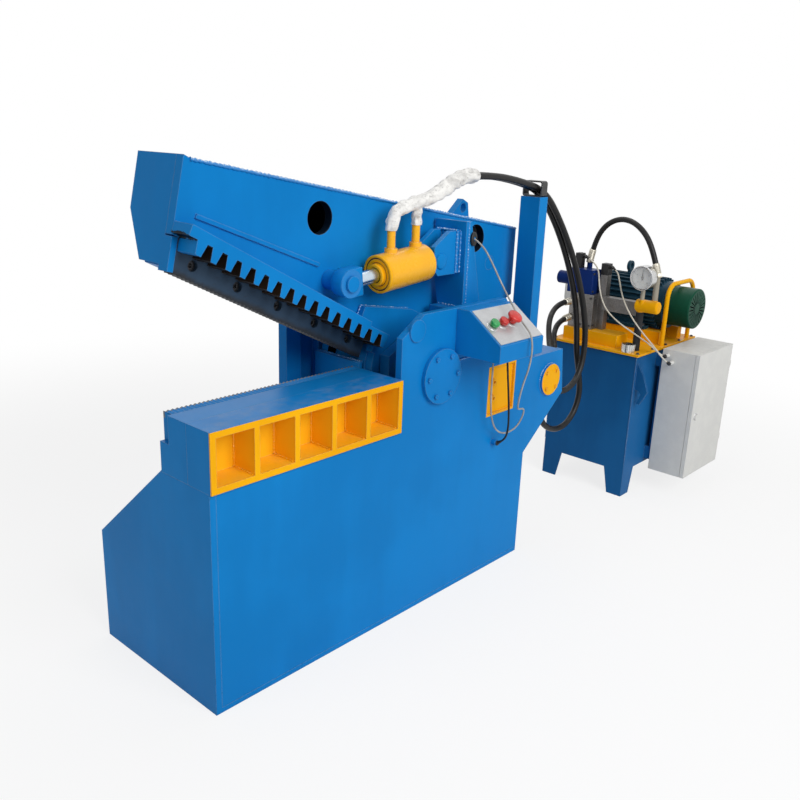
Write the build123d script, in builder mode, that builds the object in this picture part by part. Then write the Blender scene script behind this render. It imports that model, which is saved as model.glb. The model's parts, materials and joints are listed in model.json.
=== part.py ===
from build123d import *
import math
import os

os.makedirs("parts", exist_ok=True)

# Hydraulic alligator shear with its power unit. The origin is the middle of
# the shear's base on the floor: +X towards the rear, nose at -X, +Z up, and
# the side with the control desk at -Y.

# clearances
running_clearance = 0.05
standing_clearance = 0.2
blade_gap = 0.5
return_open_clearance = 2.6
main_open_clearance = 3.8
overrun = 5

# shear base
nose_x = -704
rear_x = 700
half_width = 280
floor_thickness = 16
wall_thickness = 20
side_thickness = 24
table_height = 823
pocket_frame_height = 168
far_wall_height = 360
rear_wall_height = 406
shear_line_y = -67
chute_rise = 5
chute_thickness = 16

# side plates with tower and ear
tower_front_x = 99
tower_rear_x = 520
tower_height = 1012
throat_x = 0
throat_height = 948
ear_front_x = 690
ear_rear_x = 938
ear_top_rear_x = 915
ear_top_height = 772
ear_low_height = 599
near_bearing_y = -100
near_bearing_thickness = 40
near_bearing_front_x = 96
bearing_shoulder_x = 330
bearing_shoulder_z = 850
bearing_drop = 52
far_bearing_y = 150
far_bearing_thickness = 40
guide_front_x = -85
guide_rear_x = -23
guide_slot_rear_x = 54
guide_slot_base_height = 510
guide_top_height = 1050
guide_tie_height = 90
guide_skin_thickness = 10

# jaw pivot
pivot_x = 186
pivot_z = 801
pivot_pin_radius = 50
pivot_cover_radius = 90
pivot_cover_thickness = 14
cover_bolt_ring_radius = 70
cover_bolt_radius = 8
cover_bolt_height = 7
cover_bolt_count = 6
hexagon_sides = 6
small_boss_x = 64
small_boss_z = 965
small_boss_radius = 35
small_boss_height = 6

# access recess in the near side plate
access_x = 450
access_z = 600
access_width = 160
access_height = 180
access_back_thickness = 8
access_depth = 10
access_wall = 7
access_ring_radius = 12
access_ring_bore = 6
access_ring_height = 8
access_ring_side_share = 0.25
access_ring_pitch_share = 0.33

# table and pocket frame
pocket_overhang = 10
pocket_frame_width = 102
pocket_count = 5
pocket_depth = 90
pocket_rim = 18
lower_blade_thickness = 39.75
blade_height = 80
blade_tooth_pitch = 14
blade_tooth_depth = 3.5
lower_blade_inset = 14

# jaw, in its own axes from the pivot with the blade edge level
jaw_open_angle = 26.2
jaw_plate_thickness = 30
jaw_width = 207
nose_top_x = -997
nose_top_z = 254
nose_low_x = -928
blade_edge_z = -30
jaw_tail_x = 419
jaw_tail_z = 665
jaw_rear_x = 529
jaw_rear_z = 434
jaw_top_thickness = 22
nose_run = 19
far_fold_z = 110
jaw_floor_width = 132
jaw_floor_rise = 15
jaw_hub_radius = 128
jaw_hub_bore_wall = 40
upper_blade_rear_x = -158
upper_blade_thickness = 40
upper_blade_height = 92
blade_bolt_first_x = -862
blade_bolt_pitch = 157
blade_bolt_count = 5
blade_bolt_z = 11
blade_bolt_head_radius = 15
blade_bolt_head_depth = 14
blade_bolt_bore_depth = 26
blade_bolt_radius = 9
blade_bolt_socket_radius = 7
cheek_thickness = 29
cheek_front_x = -237
cheek_top_z = 187
cheek_front_top_z = 122
cheek_front_low_z = 67
cheek_corner_x = 21
cheek_radius = 150
jaw_hole_one_x = -510
jaw_hole_one_z = 296
jaw_hole_two_x = 209
jaw_hole_two_z = 530
jaw_hole_radius = 48
doubler_front_x = -906
doubler_rear_x = -455
doubler_front_z = 136
doubler_rear_z = 178
doubler_height = 12
doubler_thickness = 6
lug_x = 70
lug_width = 95
lug_height = 52
lug_thickness = 25
lug_hole_radius = 16
lug_y = -30

# toothed bar along the jaw
tooth_count = 16
toothed_bar_depth = 78
toothed_front_x = -956
toothed_rear_x = -141
tooth_front_x = -945
toothed_top_front_z = 95
toothed_top_rear_z = 78
tooth_root_front_z = 66
tooth_root_rear_z = 55
tooth_tip_front_z = 30
tooth_tip_rear_z = 20
tooth_flat_share = 0.36
tooth_gap_share = 0.33

# return cylinder on the tower
return_y = -143
bracket_pin_x = 277
bracket_pin_z = 1145
clevis_pin_x = -396
clevis_pin_z = 148
small_pin_radius = 16
return_eye_width = 46
return_eye_radius = 34
rod_eye_radius = 42
return_barrel_radius = 59
return_bore_radius = 42
return_barrel_start = 42
return_barrel_end = 247
return_gland_length = 26
return_rod_radius = 22
return_piston_start = 62
return_piston_length = 24
clevis_ear_thickness = 18
clevis_boss_radius = 30
pin_cap_radius = 24
pin_cap_thickness = 8
clevis_gap_side = 1
port_pipe_radius = 13
port_pipe_one_x = 84
port_pipe_one_top_z = 1250
port_pipe_two_x = 197
port_pipe_two_top_z = 1268
port_boss_radius = 20
port_boss_height = 12

# tower top and cylinder post
tower_plate_thickness = 25
post_front_x = 370
post_plate_thickness = 15
post_near_y = -209
post_far_y = -77
post_top_z = 1268
gusset_thickness = 12
gusset_top_run = 12
gusset_base_run = 80
bracket_pad_thickness = 18
bracket_pad_low_z = 1100
bracket_cheek_front_x = 243
bracket_cheek_top_z = 1238
bracket_chamfer_run = 75
bracket_chamfer_rise = 46
bracket_low_chamfer = 22
wire_gland_x = 406
wire_gland_z = 1211
wire_gland_radius = 8
wire_gland_length = 8

# main cylinder between the bearing plates
trunnion_x = 832
trunnion_z = 668
trunnion_pin_radius = 30
trunnion_cover_radius = 60
trunnion_cover_thickness = 12
trunnion_bolt_ring_radius = 44
trunnion_bolt_radius = 7
trunnion_bolt_count = 4
trunnion_bolt_angle = 45
tail_pin_x = 334
tail_pin_z = 486
tail_pin_radius = 26
main_y = 36.6
main_eye_width = 110
main_eye_radius = 54
main_barrel_radius = 65
main_bore_radius = 50
main_barrel_start = 48
main_barrel_end = 378
main_gland_length = 30
main_rod_radius = 35
main_piston_start = 66
main_piston_length = 30
main_rod_eye_radius = 44

# control desk on the near side
desk_x = 255
desk_width = 235
desk_depth = 178
desk_top_depth = 50
desk_base_z = 862
desk_front_z = 918
desk_top_z = 1010
desk_wall = 3
panel_thickness = 4
panel_margin = 10
desk_opening_margin = 40
button_spread = 48
button_shift = -34
button_count = 3
button_stem_radius = 10.5
button_head_radius = 15
button_head_height = 12
button_collar_radius = 19
button_collar_height = 4
button_stem_length = 24
button_travel = 5
mushroom_radius = 24
mushroom_height = 11
mushroom_stem_height = 14
desk_gland_radius = 9
desk_gland_length = 24
wire_desk_x = 400
wire_desk_y = -330
black_desk_x = 470
black_desk_y = -335
side_gland_x = 497
side_gland_z = 500
side_gland_radius = 11
side_gland_length = 20

# hose post on the ear
hose_post_x = 800
hose_post_depth = 50
hose_post_near_y = -198
hose_post_far_y = -115
hose_post_top_z = 1330
hose_post_wall = 5
deck_front_x = 745
deck_rear_x = 905
deck_thickness = 12
clamp_x = 808
clamp_depth = 34
clamp_wall = 5
clamp_height = 56

# port block behind the ear
port_block_x = 882
port_block_depth = 58
port_block_width = 80
port_block_low_z = 580
port_block_height = 104
fitting_radius = 14
fitting_length = 22
down_fitting_length = 32
near_port_y = -212
far_port_y = -175
down_port_x = 925
down_port_y = -178
near_port_z = 600
far_port_high_z = 662
far_port_low_z = 626

# tank of the power unit
tank_x = 1474
tank_length = 546
tank_near_y = -310
tank_width = 415
tank_low_z = 170
tank_high_z = 650
tank_wall = 6
skirt_height = 50
leg_width = 95
leg_foot_width = 70
hook_thickness = 12
hook_reach = 60
hook_low_z = 440
hook_high_z = 620
hook_inset = 15
tank_top_overhang = 10
tank_top_thickness = 10
rail_width = 40
rail_height = 55
front_rail_x = 1505
front_rail_width = 100
front_rail_near_y = -190
front_rail_length = 270
mid_rail_x = 1725
rear_rail_x = 1915
rail_near_y = -280
rail_length = 280
hoop_near_x = 1712
hoop_far_x = 1968
hoop_y = -304
hoop_top_z = 934
hoop_radius = 10
hoop_bend_radius = 60
mount_x = 1660
mount_width = 330
mount_gap = 22
mount_thickness = 12
mount_low_z = 140
mount_height = 500
mount_bracket_height = 60
mount_bracket_width = 50

# motor, pump and valves
motor_x = 1840
motor_z = 825
motor_near_y = -270
motor_length = 350
motor_core_radius = 104
motor_fin_radius = 122
motor_fin_count = 30
motor_fin_thickness = 5
motor_shield_length = 34
motor_bore_radius = 70
motor_foot_width = 46
motor_foot_length = 220
motor_foot_thickness = 14
motor_eye_y = -45
motor_eye_radius = 24
motor_eye_bore = 13
motor_eye_thickness = 14
motor_eye_z = 975
terminal_box_width = 110
terminal_box_height = 90
terminal_box_depth = 60
cowl_radius = 90
cowl_length = 120
cowl_wall = 3
cowl_slot_count = 24
cowl_slot_width = 6
cowl_slot_inner_radius = 24
cowl_slot_outer_radius = 78
shaft_radius = 15
shaft_near_reach = 70
shaft_far_reach = 40
fan_radius = 80
fan_hub_radius = 30
fan_hub_length = 40
fan_blade_count = 8
fan_blade_thickness = 4
rotor_core_radius = 66
bell_radius = 84
bell_length = 92
bell_wall = 10
pump_width = 104
pump_height = 118
pump_length = 92
valve_x = 1522
valve_depth = 78
valve_y = -48
valve_width = 120
valve_top_z = 870
second_valve_x = 1562
second_valve_depth = 36
second_valve_width = 34
second_valve_top_z = 960
coil_inset = 5
coil_height = 108
coil_near_y = -30
coil_length = 125
coil_cap_radius = 29
coil_cap_length = 62
coil_cap_z = 925
valve_fitting_y = 55
valve_fitting_high_z = 832
valve_fitting_low_z = 760
plug_x = 1545
plug_depth = 30
plug_y = 45
plug_width = 32
plug_height = 66
plug_gland_radius = 7
plug_gland_length = 10
first_plug_gland_z = 1030
second_plug_height = 50
second_plug_gland_x = 1580
second_plug_gland_z = 995
top_fitting_x = 1588
top_fitting_y = 26
top_fitting_height = 37
top_fitting_radius = 12
pressure_bar_x = 1545
pressure_bar_depth = 40
pressure_bar_low_z = 808
pressure_bar_height = 60
manifold_x = 1542
manifold_near_y = -351
manifold_length = 105
manifold_z = 859
manifold_radius = 27
stand_y = -266
stand_radius = 16
manifold_fitting_x = 1552
manifold_fitting_y = -322
manifold_fitting_top_z = 995
gauge_x = 1496
gauge_y = -278
gauge_z = 983
gauge_radius = 52
gauge_depth = 38
gauge_rim = 5
gauge_dial_depth = 10
gauge_stem_radius = 9
gauge_stem_x = 1524
needle_length = 36
needle_tail = 10
needle_width = 4
needle_thickness = 2
needle_pin_radius = 3
needle_lift = 3
breather_x = 1494
breather_y = -255
breather_radius = 29
breather_height = 34
breather_neck_radius = 20
breather_neck_height = 16
breather_rib_count = 18
breather_rib_radius = 2

# cabinet on the tank
cabinet_x = 1650
cabinet_width = 350
cabinet_depth = 150
cabinet_low_z = 100
cabinet_height = 565
cabinet_wall = 3
cabinet_lip = 20
door_thickness = 18
door_wall = 3
door_gap = 1.5
hinge_radius = 7
hinge_pin_radius = 4
hinge_length = 50
hinge_inset = 80
hinge_leaf_width = 26
door_lock_radius = 12
door_lock_height = 6
switchgear_width = 240
switchgear_height = 300
switchgear_depth = 70
cabinet_gland_y = -370
cabinet_gland_z = 640
second_gland_y = -392
second_gland_z = 612
cabinet_gland_radius = 8
cabinet_gland_length = 30

# cords and hoses: diameters and points along each route
wire_diameter = 6
black_diameter = 7
cable_diameter = 6.5
hose_diameter = 24
sleeve_diameter = 52
sleeve_branch_radius = 18
run_share = 0.45
near_post_hose_route = [
    (452, -173.5, 1408), (548, -173.5, 1408), (700, -173.5, 1388), (866, -173.5, 1350), (985, -176, 1235),
    (1095, -184, 1085), (1175, -192, 925), (1212, -200, 790), (1208, -206, 675), (1165, -210, 590),
    (1085, -212, 555), (1010, -212, 568), (962, -212, 600),
]
far_post_hose_route = [
    (452, -146.5, 1408), (548, -146.5, 1408), (700, -146.5, 1388), (866, -146.5, 1350), (985, -150, 1235),
    (1090, -156, 1085), (1165, -163, 925), (1195, -169, 790), (1205, -172, 690), (1235, -174, 600),
    (1262, -175, 505), (1230, -175, 420), (1150, -175, 372), (1045, -176, 385), (955, -178, 450),
    (925, -178, 548),
]
high_valve_hose_route = [
    (1500, 55, 832), (1405, 53, 838), (1300, 35, 790), (1235, -15, 700), (1165, -80, 655),
    (1065, -145, 650), (962, -175, 662),
]
low_valve_hose_route = [
    (1500, 55, 760), (1405, 47, 757), (1305, 10, 715), (1230, -55, 655), (1150, -120, 610),
    (1055, -163, 605), (962, -175, 626),
]
top_hose_route = [
    (1588, 26, 1015), (1588, 10, 1110), (1580, -50, 1190), (1571, -140, 1215), (1562, -228, 1175),
    (1554, -290, 1090), (1552, -322, 995),
]
first_cable_route = [
    (1560, 35, 1030), (1556, 2, 1020), (1546, -46, 985), (1532, -64, 905), (1514, -108, 828),
    (1510, -178, 778), (1516, -255, 742), (1545, -328, 698), (1582, -364, 652), (1620, -370, 640),
]
second_cable_route = [
    (1580, -92, 995), (1574, -122, 985), (1560, -144, 945), (1536, -177, 885), (1516, -230, 820),
    (1512, -294, 757), (1535, -352, 695), (1575, -385, 636), (1620, -392, 612),
]
grey_wire_route = [
    (406, -217, 1211), (407, -250, 1196), (420, -280, 1146), (432, -304, 1096), (437, -332, 1052),
    (436, -360, 1018), (432, -388, 988), (420, -426, 960), (408, -466, 936), (402, -478, 886),
    (400, -472, 828), (408, -450, 772), (424, -428, 714), (480, -386, 650), (532, -366, 636),
    (580, -348, 622), (600, -332, 585), (582, -321, 545), (536, -315, 532), (490, -312, 543),
    (452, -314, 574), (427, -318, 620), (412, -323, 672), (403, -328, 725), (400, -330, 780),
    (400, -330, 838),
]
black_cable_route = [
    (470, -335, 838), (474, -340, 770), (484, -344, 690), (492, -346, 610), (496, -344, 556),
    (497, -330, 516), (497, -300, 500),
]
sleeve_route = [
    (84, -143, 1250), (84, -143, 1302), (150, -146, 1322), (250, -152, 1342), (330, -158, 1380),
    (395, -160, 1408), (452, -160, 1408),
]

# places that follow from the sizes above
half = 0.5
quarter_share = 0.25
third_share = 1 / 3
single_count = 1
pair_count = 2
front_height = table_height - pocket_frame_height
chute_top_height = front_height + chute_rise
side_outer_y = -half_width
side_inner_y = side_outer_y + side_thickness
near_bearing_outer_y = near_bearing_y - near_bearing_thickness
far_bearing_outer_y = far_bearing_y + far_bearing_thickness
tower_plate_top_z = tower_height - bearing_drop + tower_plate_thickness
bearing_top_z = tower_height - bearing_drop
jaw_near_y = shear_line_y + blade_gap * half
jaw_far_y = jaw_near_y + jaw_width
jaw_near_inner_y = jaw_near_y + jaw_plate_thickness
jaw_far_inner_y = jaw_far_y - jaw_plate_thickness
jaw_angle = math.radians(jaw_open_angle)
jaw_along = Vector(math.cos(jaw_angle), 0, -math.sin(jaw_angle))
jaw_up = Vector(math.sin(jaw_angle), 0, math.cos(jaw_angle))
nose_slant = math.atan2(nose_low_x - nose_top_x, nose_top_z - blade_edge_z)
nose_in = jaw_along * math.cos(nose_slant) + jaw_up * math.sin(nose_slant)
tank_far_y = tank_near_y + tank_width
tank_rear_x = tank_x + tank_length
tank_top_z = tank_high_z + tank_top_thickness
rail_top_z = tank_top_z + rail_height


def across(y):
    return Plane.XZ.offset(-y)


def jaw_point(x, y, z):
    return Vector(pivot_x, y, pivot_z) + jaw_along * x + jaw_up * z


def jaw_plane(y):
    return Plane(origin=(pivot_x, y, pivot_z), x_dir=jaw_along, z_dir=(0, -1, 0))


def jaw_section(x):
    return Plane(origin=jaw_point(x, 0, 0), x_dir=(0, 1, 0), z_dir=jaw_along)


def nose_line_x(z):
    return nose_top_x + (nose_low_x - nose_top_x) * (nose_top_z - z) / (nose_top_z - blade_edge_z)


def jaw_top_z(x):
    return nose_top_z + (jaw_tail_z - nose_top_z) * (x - nose_top_x) / (jaw_tail_x - nose_top_x)


def chute_z(y):
    drop = chute_top_height - far_wall_height
    return chute_top_height - drop * (y - shear_line_y) / (half_width - shear_line_y)


# Base body: floor, nose wall, far wall, rear wall and the sloped chute, welded.
chute_spans = [
    (nose_x + wall_thickness, guide_front_x, shear_line_y, half_width),
    (guide_front_x, throat_x, shear_line_y, far_bearing_y),
    (guide_front_x, rear_x - wall_thickness, far_bearing_outer_y, half_width),
]
with BuildPart() as base_body:
    with BuildSketch(Plane.XY):
        with Locations(((nose_x + rear_x) * half, 0)):
            Rectangle(rear_x - nose_x, half_width + half_width)
    extrude(amount=floor_thickness)
    with BuildSketch(Plane.YZ.offset(nose_x)):
        with BuildLine():
            Polyline(
                (side_outer_y, floor_thickness), (half_width, floor_thickness),
                (half_width, far_wall_height),
                (shear_line_y, chute_top_height), (shear_line_y, front_height),
                (side_outer_y, front_height),
                close=True,
            )
        make_face()
    extrude(amount=wall_thickness)
    with BuildSketch(across(half_width)):
        with BuildLine():
            Polyline(
                (nose_x, floor_thickness), (rear_x, floor_thickness), (rear_x, far_wall_height),
                (nose_x, far_wall_height), close=True,
            )
        make_face()
    extrude(amount=wall_thickness)
    with BuildSketch(Plane.YZ.offset(rear_x - wall_thickness)):
        with BuildLine():
            Polyline(
                (side_inner_y, floor_thickness), (near_bearing_outer_y, floor_thickness),
                (near_bearing_outer_y, rear_wall_height), (side_inner_y, rear_wall_height), close=True,
            )
        make_face()
        with BuildLine():
            Polyline(
                (near_bearing_y, floor_thickness), (far_bearing_y, floor_thickness),
                (far_bearing_y, rear_wall_height), (near_bearing_y, rear_wall_height), close=True,
            )
        make_face()
        with BuildLine():
            Polyline(
                (far_bearing_outer_y, floor_thickness), (half_width, floor_thickness),
                (half_width, far_wall_height), (far_bearing_outer_y, far_wall_height), close=True,
            )
        make_face()
    extrude(amount=wall_thickness)
    for span_start, span_end, span_near, span_far in chute_spans:
        with BuildSketch(Plane.YZ.offset(span_start)):
            with BuildLine():
                Polyline(
                    (span_near, chute_z(span_near)), (span_far, chute_z(span_far)),
                    (span_far, chute_z(span_far) - chute_thickness),
                    (span_near, chute_z(span_near) - chute_thickness), close=True,
                )
            make_face()
        extrude(amount=span_end - span_start)
base_body.part.label = "base_body"
export_step(base_body.part, "parts/base_body.step")

# Near side plate: one thick plate for the side, the tower and the ear.
with BuildPart() as near_side_plate:
    with BuildSketch(across(side_inner_y)):
        with BuildLine():
            Polyline(
                (nose_x + wall_thickness, floor_thickness), (rear_x, floor_thickness),
                (rear_x, rear_wall_height),
                (ear_rear_x, ear_low_height), (ear_top_rear_x, ear_top_height),
                (ear_front_x, ear_top_height),
                (tower_rear_x, tower_height), (tower_front_x, tower_height), (throat_x, throat_height),
                (throat_x, front_height), (nose_x + wall_thickness, front_height), close=True,
            )
        make_face()
        with Locations((pivot_x, pivot_z)):
            Circle(pivot_pin_radius + running_clearance, mode=Mode.SUBTRACT)
        with Locations((trunnion_x, trunnion_z)):
            Circle(trunnion_pin_radius + running_clearance, mode=Mode.SUBTRACT)
        with Locations((access_x + access_width * half, access_z + access_height * half)):
            Rectangle(access_width, access_height, mode=Mode.SUBTRACT)
    extrude(amount=side_thickness)
    with BuildSketch(across(side_outer_y)):
        with Locations((small_boss_x, small_boss_z)):
            Circle(small_boss_radius)
    extrude(amount=small_boss_height)
    with BuildSketch(across(side_outer_y)):
        with Locations((side_gland_x, side_gland_z)):
            Circle(side_gland_radius)
    extrude(amount=side_gland_length)
near_side_plate.part.label = "near_side_plate"
export_step(near_side_plate.part, "parts/near_side_plate.step")

# Near bearing plate, which carries the pivot pin inside the tower.
with BuildPart() as near_bearing_plate:
    with BuildSketch(across(near_bearing_y)):
        with BuildLine():
            Polyline(
                (near_bearing_front_x, floor_thickness), (rear_x, floor_thickness),
                (rear_x, rear_wall_height),
                (ear_rear_x, ear_low_height), (ear_top_rear_x, ear_top_height),
                (ear_front_x, ear_top_height),
                (tower_rear_x, bearing_top_z), (bearing_shoulder_x, bearing_top_z),
                (near_bearing_front_x, bearing_shoulder_z), close=True,
            )
        make_face()
        with Locations((pivot_x, pivot_z)):
            Circle(pivot_pin_radius + running_clearance, mode=Mode.SUBTRACT)
        with Locations((trunnion_x, trunnion_z)):
            Circle(trunnion_pin_radius + running_clearance, mode=Mode.SUBTRACT)
    extrude(amount=near_bearing_thickness)
near_bearing_plate.part.label = "near_bearing_plate"
export_step(near_bearing_plate.part, "parts/near_bearing_plate.step")

# Far bearing plate with the guide post that keeps the jaw in line.
with BuildPart() as far_bearing_plate:
    with BuildSketch(across(far_bearing_outer_y)):
        with BuildLine():
            Polyline(
                (guide_front_x, floor_thickness), (rear_x, floor_thickness), (rear_x, rear_wall_height),
                (ear_rear_x, ear_low_height), (ear_top_rear_x, ear_top_height),
                (ear_front_x, ear_top_height),
                (tower_rear_x, tower_height), (guide_slot_rear_x, guide_top_height),
                (guide_front_x, guide_top_height), close=True,
            )
        make_face()
        with BuildLine():
            Polyline(
                (guide_rear_x, guide_slot_base_height), (guide_slot_rear_x, guide_slot_base_height),
                (guide_slot_rear_x, guide_top_height - guide_tie_height),
                (guide_rear_x, guide_top_height - guide_tie_height), close=True,
            )
        make_face(mode=Mode.SUBTRACT)
        with Locations((pivot_x, pivot_z)):
            Circle(pivot_pin_radius + running_clearance, mode=Mode.SUBTRACT)
        with Locations((trunnion_x, trunnion_z)):
            Circle(trunnion_pin_radius + running_clearance, mode=Mode.SUBTRACT)
    extrude(amount=far_bearing_thickness)
    with BuildSketch(across(far_bearing_outer_y)):
        with BuildLine():
            Polyline(
                (guide_rear_x, guide_slot_base_height), (guide_slot_rear_x, guide_slot_base_height),
                (guide_slot_rear_x, guide_top_height - guide_tie_height),
                (guide_rear_x, guide_top_height - guide_tie_height), close=True,
            )
        make_face()
    extrude(amount=guide_skin_thickness)
far_bearing_plate.part.label = "far_bearing_plate"
export_step(far_bearing_plate.part, "parts/far_bearing_plate.step")

# Table beam behind the pocket frame: table plate and blade bearer.
pocket_near_y = side_outer_y - pocket_overhang
pocket_far_y = pocket_near_y + pocket_frame_width
blade_back_y = shear_line_y - lower_blade_thickness - blade_gap * half
blade_front_y = shear_line_y - blade_gap * half
with BuildPart() as table_beam:
    with BuildSketch(Plane.YZ.offset(nose_x)):
        with BuildLine():
            Polyline(
                (pocket_far_y, front_height), (blade_front_y, front_height),
                (blade_front_y, table_height - blade_height), (blade_back_y, table_height - blade_height),
                (blade_back_y, table_height), (pocket_far_y, table_height), close=True,
            )
        make_face()
    extrude(amount=throat_x - nose_x)
table_beam.part.label = "table_beam"
export_step(table_beam.part, "parts/table_beam.step")

# Pocket frame: five deep pockets between upright dividers.
pocket_pitch = (throat_x - nose_x - pocket_rim) / pocket_count
pocket_width = pocket_pitch - pocket_rim
pocket_open_height = table_height - front_height - pocket_rim - pocket_rim
with BuildPart() as pocket_frame:
    with BuildSketch(across(pocket_far_y)):
        with BuildLine():
            Polyline(
                (nose_x, front_height), (throat_x, front_height), (throat_x, table_height),
                (nose_x, table_height), close=True,
            )
        make_face()
    extrude(amount=pocket_frame_width)
    with BuildSketch(across(pocket_near_y + pocket_depth)):
        with Locations(((nose_x + throat_x) * half, (front_height + table_height) * half)):
            with GridLocations(pocket_pitch, pocket_pitch, pocket_count, single_count):
                Rectangle(pocket_width, pocket_open_height)
    extrude(amount=pocket_depth + overrun, mode=Mode.SUBTRACT)
pocket_frame.part.label = "pocket_frame"
export_step(pocket_frame.part, "parts/pocket_frame.step")

# Lower blade with a fine serrated edge, seated on the table beam.
lower_blade_front_x = nose_x + lower_blade_inset
lower_blade_length = throat_x - lower_blade_front_x
lower_tooth_count = int(lower_blade_length / blade_tooth_pitch)
lower_pitch = lower_blade_length / lower_tooth_count
lower_edge = []
for tooth in range(lower_tooth_count):
    tooth_x = lower_blade_front_x + tooth * lower_pitch
    lower_edge.append((tooth_x, table_height))
    lower_edge.append((tooth_x + lower_pitch * half, table_height - blade_tooth_depth))
lower_edge.append((throat_x, table_height))
with BuildPart() as lower_blade:
    with BuildSketch(across(blade_front_y)):
        with BuildLine():
            Polyline(
                (lower_blade_front_x, table_height - blade_height), *lower_edge,
                (throat_x, table_height - blade_height), close=True,
            )
        make_face()
    extrude(amount=blade_front_y - blade_back_y)
lower_blade.part.label = "lower_blade"
export_step(lower_blade.part, "parts/lower_blade.step")

# Pivot pin through the side plate, the bearing plates and the jaw.
with BuildPart() as pivot_pin:
    with BuildSketch(across(far_bearing_outer_y)):
        with Locations((pivot_x, pivot_z)):
            Circle(pivot_pin_radius)
    extrude(amount=far_bearing_outer_y - side_outer_y)
    chamfer(pivot_pin.edges().filter_by(GeomType.CIRCLE), length=running_clearance + standing_clearance)
pivot_pin.part.label = "pivot_pin"
export_step(pivot_pin.part, "parts/pivot_pin.step")

# Round covers over both ends of the pivot pin.
with BuildPart() as pivot_covers:
    with BuildSketch(across(side_outer_y)):
        with Locations((pivot_x, pivot_z)):
            Circle(pivot_cover_radius)
    extrude(amount=pivot_cover_thickness)
    with BuildSketch(across(far_bearing_outer_y + pivot_cover_thickness)):
        with Locations((pivot_x, pivot_z)):
            Circle(pivot_cover_radius)
    extrude(amount=pivot_cover_thickness)
pivot_covers.part.label = "pivot_covers"
export_step(pivot_covers.part, "parts/pivot_covers.step")

# Hexagon bolt heads on the pivot covers.
with BuildPart() as cover_bolts:
    with BuildSketch(across(side_outer_y - pivot_cover_thickness)):
        with Locations((pivot_x, pivot_z)):
            with PolarLocations(cover_bolt_ring_radius, cover_bolt_count):
                RegularPolygon(cover_bolt_radius, hexagon_sides)
    extrude(amount=cover_bolt_height)
    with BuildSketch(across(far_bearing_outer_y + pivot_cover_thickness + cover_bolt_height)):
        with Locations((pivot_x, pivot_z)):
            with PolarLocations(cover_bolt_ring_radius, cover_bolt_count):
                RegularPolygon(cover_bolt_radius, hexagon_sides)
    extrude(amount=cover_bolt_height)
cover_bolts.part.label = "cover_bolts"
export_step(cover_bolts.part, "parts/cover_bolts.step")

# Access recess: a tray let into the side plate, with two ring bosses.
tray_width = access_width - standing_clearance - standing_clearance
tray_height = access_height - standing_clearance - standing_clearance
access_mid_x = access_x + access_width * half
access_mid_z = access_z + access_height * half
tray_back_y = side_outer_y + access_depth + access_back_thickness
with BuildPart() as access_tray:
    with BuildSketch(across(tray_back_y)):
        with Locations((access_mid_x, access_mid_z)):
            Rectangle(tray_width, tray_height)
    extrude(amount=tray_back_y - side_outer_y)
    with BuildSketch(across(tray_back_y - access_back_thickness)):
        with Locations((access_mid_x, access_mid_z)):
            Rectangle(tray_width - access_wall - access_wall, tray_height - access_wall - access_wall)
    extrude(amount=access_depth + overrun, mode=Mode.SUBTRACT)
    with BuildSketch(across(tray_back_y - access_back_thickness)):
        with Locations((access_x + access_width * access_ring_side_share, access_mid_z)):
            with GridLocations(
                access_width, access_height * access_ring_pitch_share, single_count, pair_count,
            ):
                Circle(access_ring_radius)
                Circle(access_ring_bore, mode=Mode.SUBTRACT)
    extrude(amount=access_ring_height)
access_tray.part.label = "access_tray"
export_step(access_tray.part, "parts/access_tray.step")

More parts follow.
